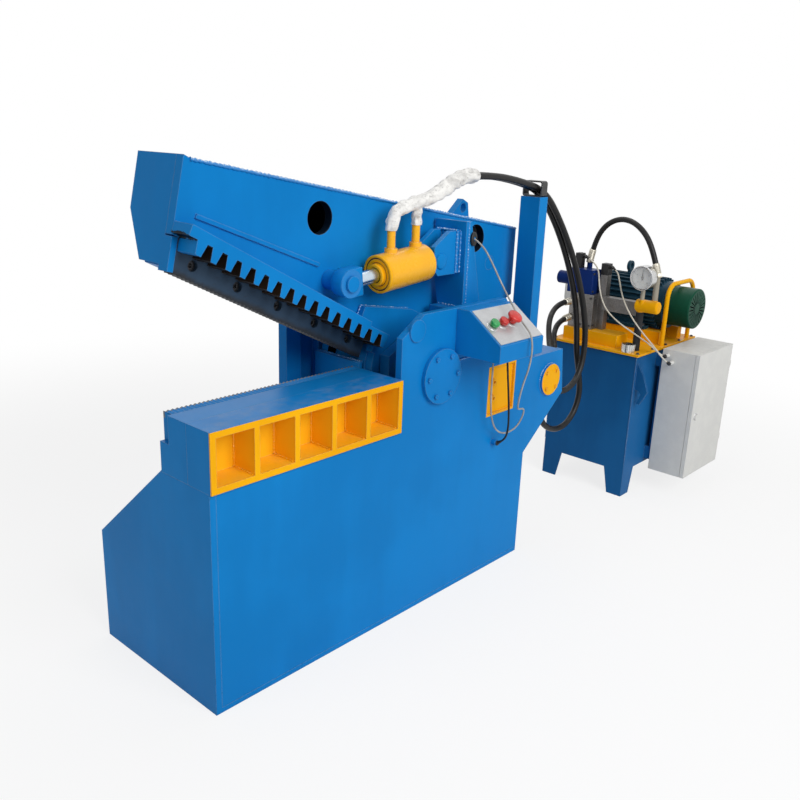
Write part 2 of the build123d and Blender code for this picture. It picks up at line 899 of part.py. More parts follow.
# Cylinder post: tower top plate, upright post, gusset and pin bracket, welded.
bracket_near_y = return_y - return_eye_width * half - clevis_gap_side
bracket_far_y = return_y + return_eye_width * half + clevis_gap_side
bracket_face_x = post_front_x - bracket_pad_thickness
bracket_low_z = bracket_pin_z - (bracket_cheek_top_z - bracket_pin_z) * half
with BuildPart() as cylinder_post:
    with BuildSketch(Plane.XY.offset(bearing_top_z)):
        with BuildLine():
            Polyline(
                (bearing_shoulder_x, side_inner_y), (tower_rear_x, side_inner_y),
                (tower_rear_x, near_bearing_y), (bearing_shoulder_x, near_bearing_y), close=True,
            )
        make_face()
    extrude(amount=tower_plate_thickness)
    with BuildSketch(Plane.YZ.offset(post_front_x)):
        with BuildLine():
            Polyline(
                (post_near_y, tower_plate_top_z), (near_bearing_y, tower_plate_top_z),
                (post_far_y, bracket_pad_low_z), (post_far_y, post_top_z), (post_near_y, post_top_z),
                close=True,
            )
        make_face()
    extrude(amount=post_plate_thickness)
    with BuildSketch(across(post_near_y + gusset_thickness)):
        with BuildLine():
            gusset_x = post_front_x + post_plate_thickness
            Polyline(
                (gusset_x, tower_plate_top_z), (gusset_x + gusset_base_run, tower_plate_top_z),
                (gusset_x + gusset_top_run, post_top_z), (gusset_x, post_top_z), close=True,
            )
        make_face()
    extrude(amount=gusset_thickness)
    with BuildSketch(across(post_near_y)):
        with Locations((wire_gland_x, wire_gland_z)):
            Circle(wire_gland_radius)
    extrude(amount=wire_gland_length)
    with BuildSketch(Plane.YZ.offset(bracket_face_x)):
        with BuildLine():
            Polyline(
                (bracket_near_y - clevis_ear_thickness, bracket_pad_low_z),
                (bracket_far_y + clevis_ear_thickness, bracket_pad_low_z),
                (bracket_far_y + clevis_ear_thickness, bracket_cheek_top_z),
                (bracket_near_y - clevis_ear_thickness, bracket_cheek_top_z), close=True,
            )
        make_face()
    extrude(amount=bracket_pad_thickness)
    for cheek_y in (bracket_near_y, bracket_far_y + clevis_ear_thickness):
        with BuildSketch(across(cheek_y)):
            with BuildLine():
                Polyline(
                    (bracket_face_x, bracket_low_z),
                    (bracket_cheek_front_x + bracket_low_chamfer, bracket_low_z),
                    (bracket_cheek_front_x, bracket_low_z + bracket_low_chamfer),
                    (bracket_cheek_front_x, bracket_cheek_top_z - bracket_chamfer_rise),
                    (bracket_cheek_front_x + bracket_chamfer_run, bracket_cheek_top_z),
                    (bracket_face_x, bracket_cheek_top_z), close=True,
                )
            make_face()
            with Locations((bracket_pin_x, bracket_pin_z)):
                Circle(small_pin_radius + running_clearance, mode=Mode.SUBTRACT)
        extrude(amount=clevis_ear_thickness)
cylinder_post.part.label = "cylinder_post"
export_step(cylinder_post.part, "parts/cylinder_post.step")

# Fixed pins: the return cylinder's bracket pin and the main trunnion pin.
with BuildPart() as cylinder_pins:
    with BuildSketch(across(bracket_far_y + clevis_ear_thickness)):
        with Locations((bracket_pin_x, bracket_pin_z)):
            Circle(small_pin_radius)
    extrude(amount=bracket_far_y - bracket_near_y + clevis_ear_thickness + clevis_ear_thickness)
    with BuildSketch(across(far_bearing_outer_y)):
        with Locations((trunnion_x, trunnion_z)):
            Circle(trunnion_pin_radius)
    extrude(amount=far_bearing_outer_y - side_outer_y)
cylinder_pins.part.label = "cylinder_pins"
export_step(cylinder_pins.part, "parts/cylinder_pins.step")

# Discs with small bolts over both ends of the trunnion pin.
with BuildPart() as trunnion_covers:
    for cover_y in (side_outer_y, far_bearing_outer_y + trunnion_cover_thickness):
        with BuildSketch(across(cover_y)):
            with Locations((trunnion_x, trunnion_z)):
                Circle(trunnion_cover_radius)
        extrude(amount=trunnion_cover_thickness)
    for bolt_y in (side_outer_y - trunnion_cover_thickness, far_bearing_outer_y + trunnion_cover_thickness):
        bolt_start_y = bolt_y if bolt_y < 0 else bolt_y + cover_bolt_height
        with BuildSketch(across(bolt_start_y)):
            with Locations((trunnion_x, trunnion_z)):
                with PolarLocations(
                    trunnion_bolt_ring_radius, trunnion_bolt_count, start_angle=trunnion_bolt_angle,
                ):
                    RegularPolygon(trunnion_bolt_radius, hexagon_sides)
        extrude(amount=cover_bolt_height)
trunnion_covers.part.label = "trunnion_covers"
export_step(trunnion_covers.part, "parts/trunnion_covers.step")

# Control desk: a folded sheet box with a sloped opening for the panel.
desk_front_y = side_outer_y - desk_depth
desk_fold_y = side_outer_y - desk_top_depth
desk_slope = math.atan2(desk_top_z - desk_front_z, desk_depth - desk_top_depth)
slope_length = math.hypot(desk_top_z - desk_front_z, desk_depth - desk_top_depth)
panel_out = Vector(0, -math.sin(desk_slope), math.cos(desk_slope))
panel_middle = Vector(
    desk_x + desk_width * half, (desk_front_y + desk_fold_y) * half, (desk_front_z + desk_top_z) * half,
)
with BuildPart() as control_desk:
    with BuildSketch(Plane.YZ.offset(desk_x)):
        with BuildLine():
            Polyline(
                (side_outer_y, desk_base_z), (side_outer_y, desk_top_z), (desk_fold_y, desk_top_z),
                (desk_front_y, desk_front_z), (desk_front_y, desk_base_z), close=True,
            )
        make_face()
    extrude(amount=desk_width)
    with BuildSketch(Plane.YZ.offset(desk_x + desk_wall)):
        with BuildLine():
            Polyline(
                (side_outer_y - desk_wall, desk_base_z + desk_wall),
                (side_outer_y - desk_wall, desk_top_z - desk_wall),
                (desk_fold_y, desk_top_z - desk_wall),
                (desk_front_y + desk_wall, desk_front_z - desk_wall),
                (desk_front_y + desk_wall, desk_base_z + desk_wall), close=True,
            )
        make_face()
    extrude(amount=desk_width - desk_wall - desk_wall, mode=Mode.SUBTRACT)
    with BuildSketch(Plane(origin=panel_middle, x_dir=(1, 0, 0), z_dir=panel_out)):
        Rectangle(desk_width - desk_opening_margin, slope_length - desk_opening_margin)
    extrude(amount=-(desk_wall + overrun), mode=Mode.SUBTRACT)
    with BuildSketch(Plane.XY.offset(desk_base_z - desk_gland_length)):
        with Locations((wire_desk_x, wire_desk_y), (black_desk_x, black_desk_y)):
            Circle(desk_gland_radius)
    extrude(amount=desk_gland_length)
control_desk.part.label = "control_desk"
export_step(control_desk.part, "parts/control_desk.step")

# Sloped desk panel with a collar round each button.
panel_top = panel_middle + panel_out * panel_thickness
panel_plane = Plane(origin=panel_middle, x_dir=(1, 0, 0), z_dir=panel_out)
panel_top_plane = Plane(origin=panel_top, x_dir=(1, 0, 0), z_dir=panel_out)
button_bore = button_stem_radius + running_clearance
with BuildPart() as desk_panel:
    with BuildSketch(panel_plane):
        Rectangle(desk_width - panel_margin, slope_length - panel_margin)
    extrude(amount=panel_thickness)
    with BuildSketch(panel_top_plane):
        with Locations((button_shift, 0)):
            with GridLocations(button_spread, button_spread, button_count, single_count):
                Circle(button_collar_radius)
    extrude(amount=button_collar_height)
    with BuildSketch(panel_plane):
        with Locations((button_shift, 0)):
            with GridLocations(button_spread, button_spread, button_count, single_count):
                Circle(button_bore)
    extrude(amount=panel_thickness + button_collar_height + overrun, mode=Mode.SUBTRACT)
desk_panel.part.label = "desk_panel"
export_step(desk_panel.part, "parts/desk_panel.step")


def button_plane(column, height):
    place = panel_top + Vector(button_shift + column * button_spread, 0, 0) + panel_out * height
    return Plane(origin=place, x_dir=(1, 0, 0), z_dir=panel_out)


# Start button: a capped stem in the panel's left bore.
head_base = button_collar_height + button_travel + standing_clearance
with BuildPart() as start_button:
    with BuildSketch(button_plane(-1, head_base)):
        Circle(button_head_radius)
    extrude(amount=button_head_height)
    with BuildSketch(button_plane(-1, head_base)):
        Circle(button_stem_radius)
    extrude(amount=-button_stem_length)
start_button.part.label = "start_button"
export_step(start_button.part, "parts/start_button.step")

# Stop button in the middle bore.
with BuildPart() as stop_button:
    with BuildSketch(button_plane(0, head_base)):
        Circle(button_head_radius)
    extrude(amount=button_head_height)
    with BuildSketch(button_plane(0, head_base)):
        Circle(button_stem_radius)
    extrude(amount=-button_stem_length)
stop_button.part.label = "stop_button"
export_step(stop_button.part, "parts/stop_button.step")

# Emergency stop: a mushroom head on a stem in the right bore.
with BuildPart() as emergency_stop:
    with BuildSketch(button_plane(1, head_base)):
        Circle(button_head_radius)
    extrude(amount=mushroom_stem_height)
    with BuildSketch(button_plane(1, head_base + mushroom_stem_height)):
        Circle(mushroom_radius)
    extrude(amount=mushroom_height)
    mushroom_rim = emergency_stop.edges().filter_by(GeomType.CIRCLE).sort_by(SortBy.RADIUS)[-2:]
    fillet(mushroom_rim.sort_by(Axis.Z)[-1:], radius=mushroom_height * half)
    with BuildSketch(button_plane(1, head_base)):
        Circle(button_stem_radius)
    extrude(amount=-button_stem_length)
emergency_stop.part.label = "emergency_stop"
export_step(emergency_stop.part, "parts/emergency_stop.step")

# Hose post: a square tube on a deck plate across the ear.
hose_post_mid_y = (hose_post_near_y + hose_post_far_y) * half
hose_post_mid_x = hose_post_x + hose_post_depth * half
hose_post_width = hose_post_far_y - hose_post_near_y
deck_mid_x = (deck_front_x + deck_rear_x) * half
deck_mid_y = (side_inner_y + near_bearing_outer_y) * half
with BuildPart() as hose_post:
    with BuildSketch(Plane.XY.offset(ear_top_height - deck_thickness)):
        with Locations((deck_mid_x, deck_mid_y)):
            Rectangle(deck_rear_x - deck_front_x, near_bearing_outer_y - side_inner_y)
    extrude(amount=deck_thickness)
    with BuildSketch(Plane.XY.offset(ear_top_height)):
        with Locations((hose_post_mid_x, hose_post_mid_y)):
            Rectangle(hose_post_depth, hose_post_width)
    extrude(amount=hose_post_top_z - ear_top_height)
    with BuildSketch(Plane.XY.offset(ear_top_height + hose_post_wall)):
        with Locations((hose_post_mid_x, hose_post_mid_y)):
            Rectangle(
                hose_post_depth - hose_post_wall - hose_post_wall,
                hose_post_width - hose_post_wall - hose_post_wall,
            )
    extrude(amount=hose_post_top_z - ear_top_height - hose_post_wall - hose_post_wall, mode=Mode.SUBTRACT)
hose_post.part.label = "hose_post"
export_step(hose_post.part, "parts/hose_post.step")

# Hose clamp: a strap bent over the two hoses on the post's top.
with BuildPart() as hose_clamp:
    with BuildSketch(Plane.YZ.offset(clamp_x)):
        with Locations((hose_post_mid_y, hose_post_top_z + clamp_height * half)):
            RectangleRounded(hose_post_width, clamp_height, clamp_wall + clamp_wall)
            RectangleRounded(
                hose_post_width - clamp_wall - clamp_wall, clamp_height - clamp_wall - clamp_wall,
                clamp_wall,
                mode=Mode.SUBTRACT,
            )
    extrude(amount=clamp_depth)
hose_clamp.part.label = "hose_clamp"
export_step(hose_clamp.part, "parts/hose_clamp.step")

# Port block bolted inside the ear, with fittings for the four hoses.
port_block_rear_x = port_block_x + port_block_depth
with BuildPart() as port_block:
    with BuildSketch(Plane.XY.offset(port_block_low_z)):
        with Locations((port_block_x + port_block_depth * half, side_inner_y + port_block_width * half)):
            Rectangle(port_block_depth, port_block_width)
    extrude(amount=port_block_height)
    with BuildSketch(Plane.YZ.offset(port_block_rear_x)):
        with Locations(
            (near_port_y, near_port_z), (far_port_y, far_port_high_z), (far_port_y, far_port_low_z),
        ):
            Circle(fitting_radius)
    extrude(amount=fitting_length)
    with BuildSketch(Plane.XY.offset(port_block_low_z)):
        with Locations((down_port_x, down_port_y)):
            Circle(fitting_radius)
    extrude(amount=-down_fitting_length)
port_block.part.label = "port_block"
export_step(port_block.part, "parts/port_block.step")

# Jaw near plate: the whole near side of the jaw, from nose to tail.
blade_top_z = blade_edge_z + upper_blade_height
with BuildPart() as jaw_near_plate:
    with BuildSketch(jaw_plane(jaw_near_inner_y)):
        with BuildLine():
            Polyline(
                (nose_line_x(blade_top_z), blade_top_z), (nose_top_x, nose_top_z),
                (nose_top_x + nose_run, nose_top_z), (jaw_tail_x, jaw_top_z(jaw_tail_x - nose_run)),
                (jaw_rear_x, jaw_rear_z), (jaw_hub_radius, 0), (0, 0), (upper_blade_rear_x, blade_top_z),
                close=True,
            )
        make_face()
        Circle(jaw_hub_radius)
        Circle(pivot_pin_radius + running_clearance, mode=Mode.SUBTRACT)
        with Locations((jaw_hole_one_x, jaw_hole_one_z), (jaw_hole_two_x, jaw_hole_two_z)):
            Circle(jaw_hole_radius, mode=Mode.SUBTRACT)
        with Locations((tail_pin_x, tail_pin_z)):
            Circle(tail_pin_radius + running_clearance, mode=Mode.SUBTRACT)
    extrude(amount=jaw_plate_thickness)
    with BuildSketch(jaw_plane(jaw_near_y)):
        with BuildLine():
            Polyline(
                (doubler_front_x, doubler_front_z), (doubler_rear_x, doubler_rear_z),
                (doubler_rear_x, doubler_rear_z - doubler_height),
                (doubler_front_x, doubler_front_z - doubler_height),
                close=True,
            )
        make_face()
    extrude(amount=doubler_thickness)
jaw_near_plate.part.label = "jaw_near_plate"
export_step(jaw_near_plate.part, "parts/jaw_near_plate.step")

# Jaw shell: top plate, folded far side, blade holder and lifting lug, welded.
jaw_floor_y = jaw_near_y + jaw_floor_width
holder_near_y = jaw_near_y + upper_blade_thickness
holder_low_z = blade_edge_z + jaw_floor_rise
far_nose_x = nose_line_x(far_fold_z) + nose_run
lug_mid_x = lug_x + lug_width * half
nose_inner_plane = Plane(
    origin=jaw_point(nose_top_x + nose_run, 0, nose_top_z), x_dir=(0, 1, 0), z_dir=nose_in,
)
with BuildPart() as jaw_shell:
    with BuildSketch(jaw_plane(jaw_far_y)):
        with BuildLine():
            Polyline(
                (far_nose_x, far_fold_z), (nose_top_x + nose_run, nose_top_z),
                (jaw_tail_x, jaw_top_z(jaw_tail_x - nose_run)), (jaw_rear_x, jaw_rear_z),
                (jaw_hub_radius, 0),
                (0, 0), (upper_blade_rear_x, far_fold_z), close=True,
            )
        make_face()
        Circle(jaw_hub_radius)
        Circle(pivot_pin_radius + running_clearance, mode=Mode.SUBTRACT)
        with Locations((tail_pin_x, tail_pin_z)):
            Circle(tail_pin_radius + running_clearance, mode=Mode.SUBTRACT)
    extrude(amount=jaw_plate_thickness)
    with BuildSketch(jaw_plane(jaw_far_inner_y)):
        with BuildLine():
            Polyline(
                (nose_top_x + nose_run, nose_top_z), (jaw_tail_x, jaw_top_z(jaw_tail_x - nose_run)),
                (jaw_tail_x, jaw_top_z(jaw_tail_x - nose_run) - jaw_top_thickness),
                (nose_top_x + nose_run, nose_top_z - jaw_top_thickness), close=True,
            )
        make_face()
    extrude(amount=jaw_far_inner_y - jaw_near_inner_y)
    with BuildSketch(jaw_section(far_nose_x)):
        with BuildLine():
            Polyline(
                (jaw_far_inner_y, far_fold_z), (jaw_far_y, far_fold_z), (jaw_floor_y, holder_low_z),
                (jaw_floor_y - jaw_plate_thickness, holder_low_z), close=True,
            )
        make_face()
        with BuildLine():
            Polyline(
                (holder_near_y, holder_low_z), (jaw_floor_y - jaw_plate_thickness, holder_low_z),
                (jaw_floor_y - jaw_plate_thickness, blade_top_z), (holder_near_y, blade_top_z),
                close=True,
            )
        make_face()
        with BuildLine():
            Polyline(
                (jaw_floor_y - jaw_plate_thickness, holder_low_z), (jaw_floor_y, holder_low_z),
                (jaw_floor_y, blade_top_z), (jaw_floor_y - jaw_plate_thickness, blade_top_z), close=True,
            )
        make_face()
    extrude(amount=upper_blade_rear_x - far_nose_x)
    split(bisect_by=nose_inner_plane, keep=Keep.TOP)
    with BuildSketch(jaw_plane(lug_y + lug_thickness * half)):
        with BuildLine():
            Polyline(
                (lug_x, jaw_top_z(lug_x - nose_run)),
                (lug_x + lug_width, jaw_top_z(lug_x + lug_width - nose_run)),
                (lug_mid_x + lug_hole_radius, jaw_top_z(lug_mid_x) + lug_height),
                (lug_mid_x - lug_hole_radius, jaw_top_z(lug_mid_x) + lug_height),
                close=True,
            )
        make_face()
        with Locations((lug_mid_x, jaw_top_z(lug_mid_x) + lug_height * half)):
            Circle(lug_hole_radius, mode=Mode.SUBTRACT)
    extrude(amount=lug_thickness)
jaw_shell.part.label = "jaw_shell"
export_step(jaw_shell.part, "parts/jaw_shell.step")

# Jaw nose plate: the flat front of the jaw with its folded outline.
nose_plane = Plane(origin=jaw_point(nose_top_x, 0, nose_top_z), x_dir=(0, 1, 0), z_dir=nose_in)


def nose_drop(z):
    return (z - nose_top_z) / math.cos(nose_slant)


tongue_top_z = blade_top_z - nose_run * math.cos(nose_slant) * math.sin(nose_slant)
with BuildPart() as jaw_nose_plate:
    with BuildSketch(nose_plane):
        with BuildLine():
            Polyline(
                (jaw_near_inner_y, nose_drop(tongue_top_z)), (jaw_near_inner_y, 0), (jaw_far_y, 0),
                (jaw_far_y, nose_drop(far_fold_z)), (jaw_floor_y, nose_drop(holder_low_z)),
                (holder_near_y, nose_drop(holder_low_z)), (holder_near_y, nose_drop(blade_edge_z)),
                (jaw_near_y, nose_drop(blade_edge_z)), (jaw_near_y, nose_drop(tongue_top_z)), close=True,
            )
        make_face()
    extrude(amount=nose_run * math.cos(nose_slant))
jaw_nose_plate.part.label = "jaw_nose_plate"
export_step(jaw_nose_plate.part, "parts/jaw_nose_plate.step")

# Jaw hub: the tube on the pivot pin and the cheek plate outside the near plate.
with BuildPart() as jaw_hub:
    with BuildSketch(jaw_plane(jaw_far_inner_y)):
        Circle(pivot_pin_radius + jaw_hub_bore_wall)
        Circle(pivot_pin_radius + running_clearance, mode=Mode.SUBTRACT)
    extrude(amount=jaw_far_inner_y - jaw_near_inner_y)
    with BuildSketch(jaw_plane(jaw_near_y)):
        with BuildLine():
            Polyline(
                (0, 0), (toothed_rear_x + standing_clearance, 0),
                (toothed_rear_x + standing_clearance, cheek_front_low_z + standing_clearance),
                (cheek_front_x, cheek_front_low_z + standing_clearance),
                (cheek_front_x, cheek_front_top_z),
                (-cheek_corner_x, cheek_top_z), (cheek_corner_x, cheek_top_z), (cheek_radius, 0),
                close=True,
            )
        make_face()
        Circle(cheek_radius * half + pivot_pin_radius)
        Circle(pivot_pin_radius + running_clearance, mode=Mode.SUBTRACT)
    extrude(amount=cheek_thickness)
jaw_hub.part.label = "jaw_hub"
export_step(jaw_hub.part, "parts/jaw_hub.step")


def along_bar(front, rear, x):
    return front + (rear - front) * (x - toothed_front_x) / (toothed_rear_x - toothed_front_x)


# Toothed bar: one plate with a row of trapezoid teeth that hold the scrap.
tooth_pitch = (toothed_rear_x - tooth_front_x) / tooth_count
tooth_edge = []
for tooth in range(tooth_count):
    gap_x = tooth_front_x + tooth * tooth_pitch
    slope_run = tooth_pitch * (1 - tooth_flat_share - tooth_gap_share) * half
    root_start = gap_x + tooth_pitch * tooth_gap_share
    tip_start = root_start + slope_run
    tip_end = tip_start + tooth_pitch * tooth_flat_share
    tooth_edge.append((gap_x, along_bar(tooth_root_front_z, tooth_root_rear_z, gap_x)))
    tooth_edge.append((root_start, along_bar(tooth_root_front_z, tooth_root_rear_z, root_start)))
    tooth_edge.append((tip_start, along_bar(tooth_tip_front_z, tooth_tip_rear_z, tip_start)))
    tooth_edge.append((tip_end, along_bar(tooth_tip_front_z, tooth_tip_rear_z, tip_end)))
with BuildPart() as toothed_bar:
    with BuildSketch(jaw_plane(jaw_near_y)):
        with BuildLine():
            Polyline(
                (toothed_front_x, toothed_top_front_z),
                (toothed_front_x, tooth_root_front_z), *tooth_edge,
                (toothed_rear_x, tooth_root_rear_z), (toothed_rear_x, cheek_front_low_z),
                (cheek_front_x - standing_clearance, cheek_front_low_z),
                (
                    cheek_front_x - standing_clearance,
                    along_bar(toothed_top_front_z, toothed_top_rear_z, cheek_front_x),
                ),
                close=True,
            )
        make_face()
    extrude(amount=toothed_bar_depth)
toothed_bar.part.label = "toothed_bar"
export_step(toothed_bar.part, "parts/toothed_bar.step")

# Upper blade with a serrated edge and counterbored bolt holes.
upper_blade_front_x = nose_line_x(blade_edge_z) + nose_run
upper_blade_length = upper_blade_rear_x - upper_blade_front_x
upper_tooth_count = int(upper_blade_length / blade_tooth_pitch)
upper_pitch = upper_blade_length / upper_tooth_count
upper_edge = []
for tooth in range(upper_tooth_count):
    tooth_x = upper_blade_rear_x - tooth * upper_pitch
    upper_edge.append((tooth_x, blade_edge_z))
    upper_edge.append((tooth_x - upper_pitch * half, blade_edge_z + blade_tooth_depth))
upper_edge.append((upper_blade_front_x, blade_edge_z))
blade_bolt_places = []
for bolt in range(blade_bolt_count):
    blade_bolt_places.append((blade_bolt_first_x + bolt * blade_bolt_pitch, blade_bolt_z))
with BuildPart() as upper_blade:
    with BuildSketch(jaw_plane(holder_near_y)):
        with BuildLine():
            Polyline(
                (upper_blade_rear_x, blade_top_z), *upper_edge,
                (nose_line_x(blade_top_z) + nose_run, blade_top_z), close=True,
            )
        make_face()
        with Locations(*blade_bolt_places):
            Circle(blade_bolt_radius + standing_clearance, mode=Mode.SUBTRACT)
    extrude(amount=upper_blade_thickness)
    with BuildSketch(jaw_plane(jaw_near_y + blade_bolt_bore_depth)):
        with Locations(*blade_bolt_places):
            Circle(blade_bolt_head_radius + standing_clearance)
    extrude(amount=blade_bolt_bore_depth + overrun, mode=Mode.SUBTRACT)
upper_blade.part.label = "upper_blade"
export_step(upper_blade.part, "parts/upper_blade.step")

# Blade bolts: socket heads sunk in the upper blade.
with BuildPart() as blade_bolts:
    with BuildSketch(jaw_plane(jaw_near_y + blade_bolt_bore_depth)):
        with Locations(*blade_bolt_places):
            Circle(blade_bolt_head_radius)
    extrude(amount=blade_bolt_head_depth)
    with BuildSketch(jaw_plane(holder_near_y)):
        with Locations(*blade_bolt_places):
            Circle(blade_bolt_radius)
    extrude(amount=upper_blade_thickness - blade_bolt_bore_depth)
    with BuildSketch(jaw_plane(jaw_near_y + blade_bolt_bore_depth - blade_bolt_head_depth * half)):
        with Locations(*blade_bolt_places):
            RegularPolygon(blade_bolt_socket_radius, hexagon_sides)
    extrude(amount=blade_bolt_head_depth, mode=Mode.SUBTRACT)
blade_bolts.part.label = "blade_bolts"
export_step(blade_bolts.part, "parts/blade_bolts.step")

# Rod boss on the jaw: a stub that carries the pin of the return rod's eye.
clevis_far_face_y = return_y + return_eye_width * half + clevis_gap_side
clevis_near_face_y = return_y - return_eye_width * half - clevis_gap_side
with BuildPart() as rod_clevis:
    with BuildSketch(jaw_plane(jaw_near_y)):
        with Locations((clevis_pin_x, clevis_pin_z)):
            Circle(clevis_boss_radius)
            Circle(small_pin_radius + running_clearance, mode=Mode.SUBTRACT)
    extrude(amount=jaw_near_y - clevis_far_face_y)
rod_clevis.part.label = "rod_clevis"
export_step(rod_clevis.part, "parts/rod_clevis.step")

# Pins that ride with the jaw: the rod pin with its cap and the tail pin.
with BuildPart() as jaw_pins:
    with BuildSketch(jaw_plane(jaw_near_y)):
        with Locations((clevis_pin_x, clevis_pin_z)):
            Circle(small_pin_radius)
    extrude(amount=jaw_near_y - clevis_near_face_y)
    with BuildSketch(jaw_plane(clevis_near_face_y)):
        with Locations((clevis_pin_x, clevis_pin_z)):
            Circle(pin_cap_radius)
    extrude(amount=pin_cap_thickness)
    with BuildSketch(jaw_plane(jaw_far_y)):
        with Locations((tail_pin_x, tail_pin_z)):
            Circle(tail_pin_radius)
    extrude(amount=jaw_far_y - jaw_near_y)
jaw_pins.part.label = "jaw_pins"
export_step(jaw_pins.part, "parts/jaw_pins.step")


# Return cylinder: places along its axis are counted from the bracket pin.
bracket_pin = Vector(bracket_pin_x, return_y, bracket_pin_z)
clevis_pin = jaw_point(clevis_pin_x, return_y, clevis_pin_z)
return_axis = (clevis_pin - bracket_pin).normalized()
return_length = (clevis_pin - bracket_pin).length


def return_plane(place):
    return Plane(origin=bracket_pin + return_axis * place, x_dir=(0, 1, 0), z_dir=return_axis)


def eye_plane(pin, width):
    return Plane(origin=pin + Vector(0, width * half, 0), x_dir=(1, 0, 0), z_dir=(0, -1, 0))


port_pipes = (
    (port_pipe_one_x, port_pipe_one_top_z),
    (port_pipe_two_x, port_pipe_two_top_z),
)
with BuildPart() as return_barrel:
    with BuildSketch(return_plane(return_barrel_start)):
        Circle(return_barrel_radius)
    extrude(amount=return_barrel_end - return_barrel_start)
    with BuildSketch(eye_plane(bracket_pin, return_eye_width)):
        Circle(return_eye_radius)
    extrude(amount=return_eye_width)
    with BuildSketch(return_plane(0)):
        Rectangle(return_eye_width, return_eye_radius + return_eye_radius)
    extrude(amount=return_barrel_start)
    with BuildSketch(eye_plane(bracket_pin, return_eye_width)):
        Circle(small_pin_radius + running_clearance)
    extrude(amount=return_eye_width, mode=Mode.SUBTRACT)
    with BuildSketch(return_plane(return_piston_start - overrun)):
        Circle(return_bore_radius)
    extrude(
        amount=return_barrel_end - return_gland_length - return_piston_start + overrun,
        mode=Mode.SUBTRACT,
    )
    with BuildSketch(return_plane(return_piston_start)):
        Circle(return_rod_radius + running_clearance)
    extrude(amount=return_barrel_end - return_piston_start + overrun, mode=Mode.SUBTRACT)
    for pipe_x, pipe_top in port_pipes:
        pipe_share = (bracket_pin_x - pipe_x) / (bracket_pin_x - clevis_pin.X)
        pipe_z = bracket_pin_z + (clevis_pin.Z - bracket_pin_z) * pipe_share
        pipe_base = pipe_z + (return_bore_radius + return_barrel_radius) * half
        with BuildSketch(Plane.XY.offset(pipe_base)):
            with Locations((pipe_x, return_y)):
                Circle(port_boss_radius)
        extrude(amount=pipe_z + return_barrel_radius + port_boss_height - pipe_base)
        with BuildSketch(Plane.XY.offset(pipe_base)):
            with Locations((pipe_x, return_y)):
                Circle(port_pipe_radius)
        extrude(amount=pipe_top - pipe_base)
return_barrel.part.label = "return_barrel"
export_step(return_barrel.part, "parts/return_barrel.step")

# Return rod: piston, rod and an eye with an open fit on the clevis pin.
with BuildPart() as return_rod:
    with BuildSketch(return_plane(return_piston_start)):
        Circle(return_bore_radius - running_clearance)
    extrude(amount=return_piston_length)
    with BuildSketch(return_plane(return_piston_start)):
        Circle(return_rod_radius)
    extrude(amount=return_length - return_piston_start)
    with BuildSketch(eye_plane(clevis_pin, return_eye_width)):
        Circle(rod_eye_radius)
    extrude(amount=return_eye_width)
    with BuildSketch(eye_plane(clevis_pin, return_eye_width)):
        Circle(small_pin_radius + return_open_clearance)
    extrude(amount=return_eye_width, mode=Mode.SUBTRACT)
return_rod.part.label = "return_rod"
export_step(return_rod.part, "parts/return_rod.step")

# Main cylinder: places along its axis are counted from the trunnion pin.
trunnion_pin = Vector(trunnion_x, main_y, trunnion_z)
tail_pin = jaw_point(tail_pin_x, main_y, tail_pin_z)
main_axis = (tail_pin - trunnion_pin).normalized()
main_length = (tail_pin - trunnion_pin).length


def main_plane(place):
    return Plane(origin=trunnion_pin + main_axis * place, x_dir=(0, 1, 0), z_dir=main_axis)


with BuildPart() as main_barrel:
    with BuildSketch(main_plane(main_barrel_start)):
        Circle(main_barrel_radius)
    extrude(amount=main_barrel_end - main_barrel_start)
    with BuildSketch(eye_plane(trunnion_pin, main_eye_width)):
        Circle(main_eye_radius)
    extrude(amount=main_eye_width)
    with BuildSketch(main_plane(0)):
        Rectangle(main_eye_width, main_eye_radius + main_eye_radius)
    extrude(amount=main_barrel_start)
    with BuildSketch(eye_plane(trunnion_pin, main_eye_width)):
        Circle(trunnion_pin_radius + running_clearance)
    extrude(amount=main_eye_width, mode=Mode.SUBTRACT)
    with BuildSketch(main_plane(main_piston_start - overrun)):
        Circle(main_bore_radius)
    extrude(amount=main_barrel_end - main_gland_length - main_piston_start + overrun, mode=Mode.SUBTRACT)
    with BuildSketch(main_plane(main_piston_start)):
        Circle(main_rod_radius + running_clearance)
    extrude(amount=main_barrel_end - main_piston_start + overrun, mode=Mode.SUBTRACT)
main_barrel.part.label = "main_barrel"
export_step(main_barrel.part, "parts/main_barrel.step")

# Main rod: piston, rod and an eye with an open fit on the tail pin.
with BuildPart() as main_rod:
    with BuildSketch(main_plane(main_piston_start)):
        Circle(main_bore_radius - running_clearance)
    extrude(amount=main_piston_length)
    with BuildSketch(main_plane(main_piston_start)):
        Circle(main_rod_radius)
    extrude(amount=main_length - main_piston_start)
    with BuildSketch(eye_plane(tail_pin, main_eye_width)):
        Circle(main_rod_eye_radius)
    extrude(amount=main_eye_width)
    with BuildSketch(eye_plane(tail_pin, main_eye_width)):
        Circle(tail_pin_radius + main_open_clearance)
    extrude(amount=main_eye_width, mode=Mode.SUBTRACT)
main_rod.part.label = "main_rod"
export_step(main_rod.part, "parts/main_rod.step")

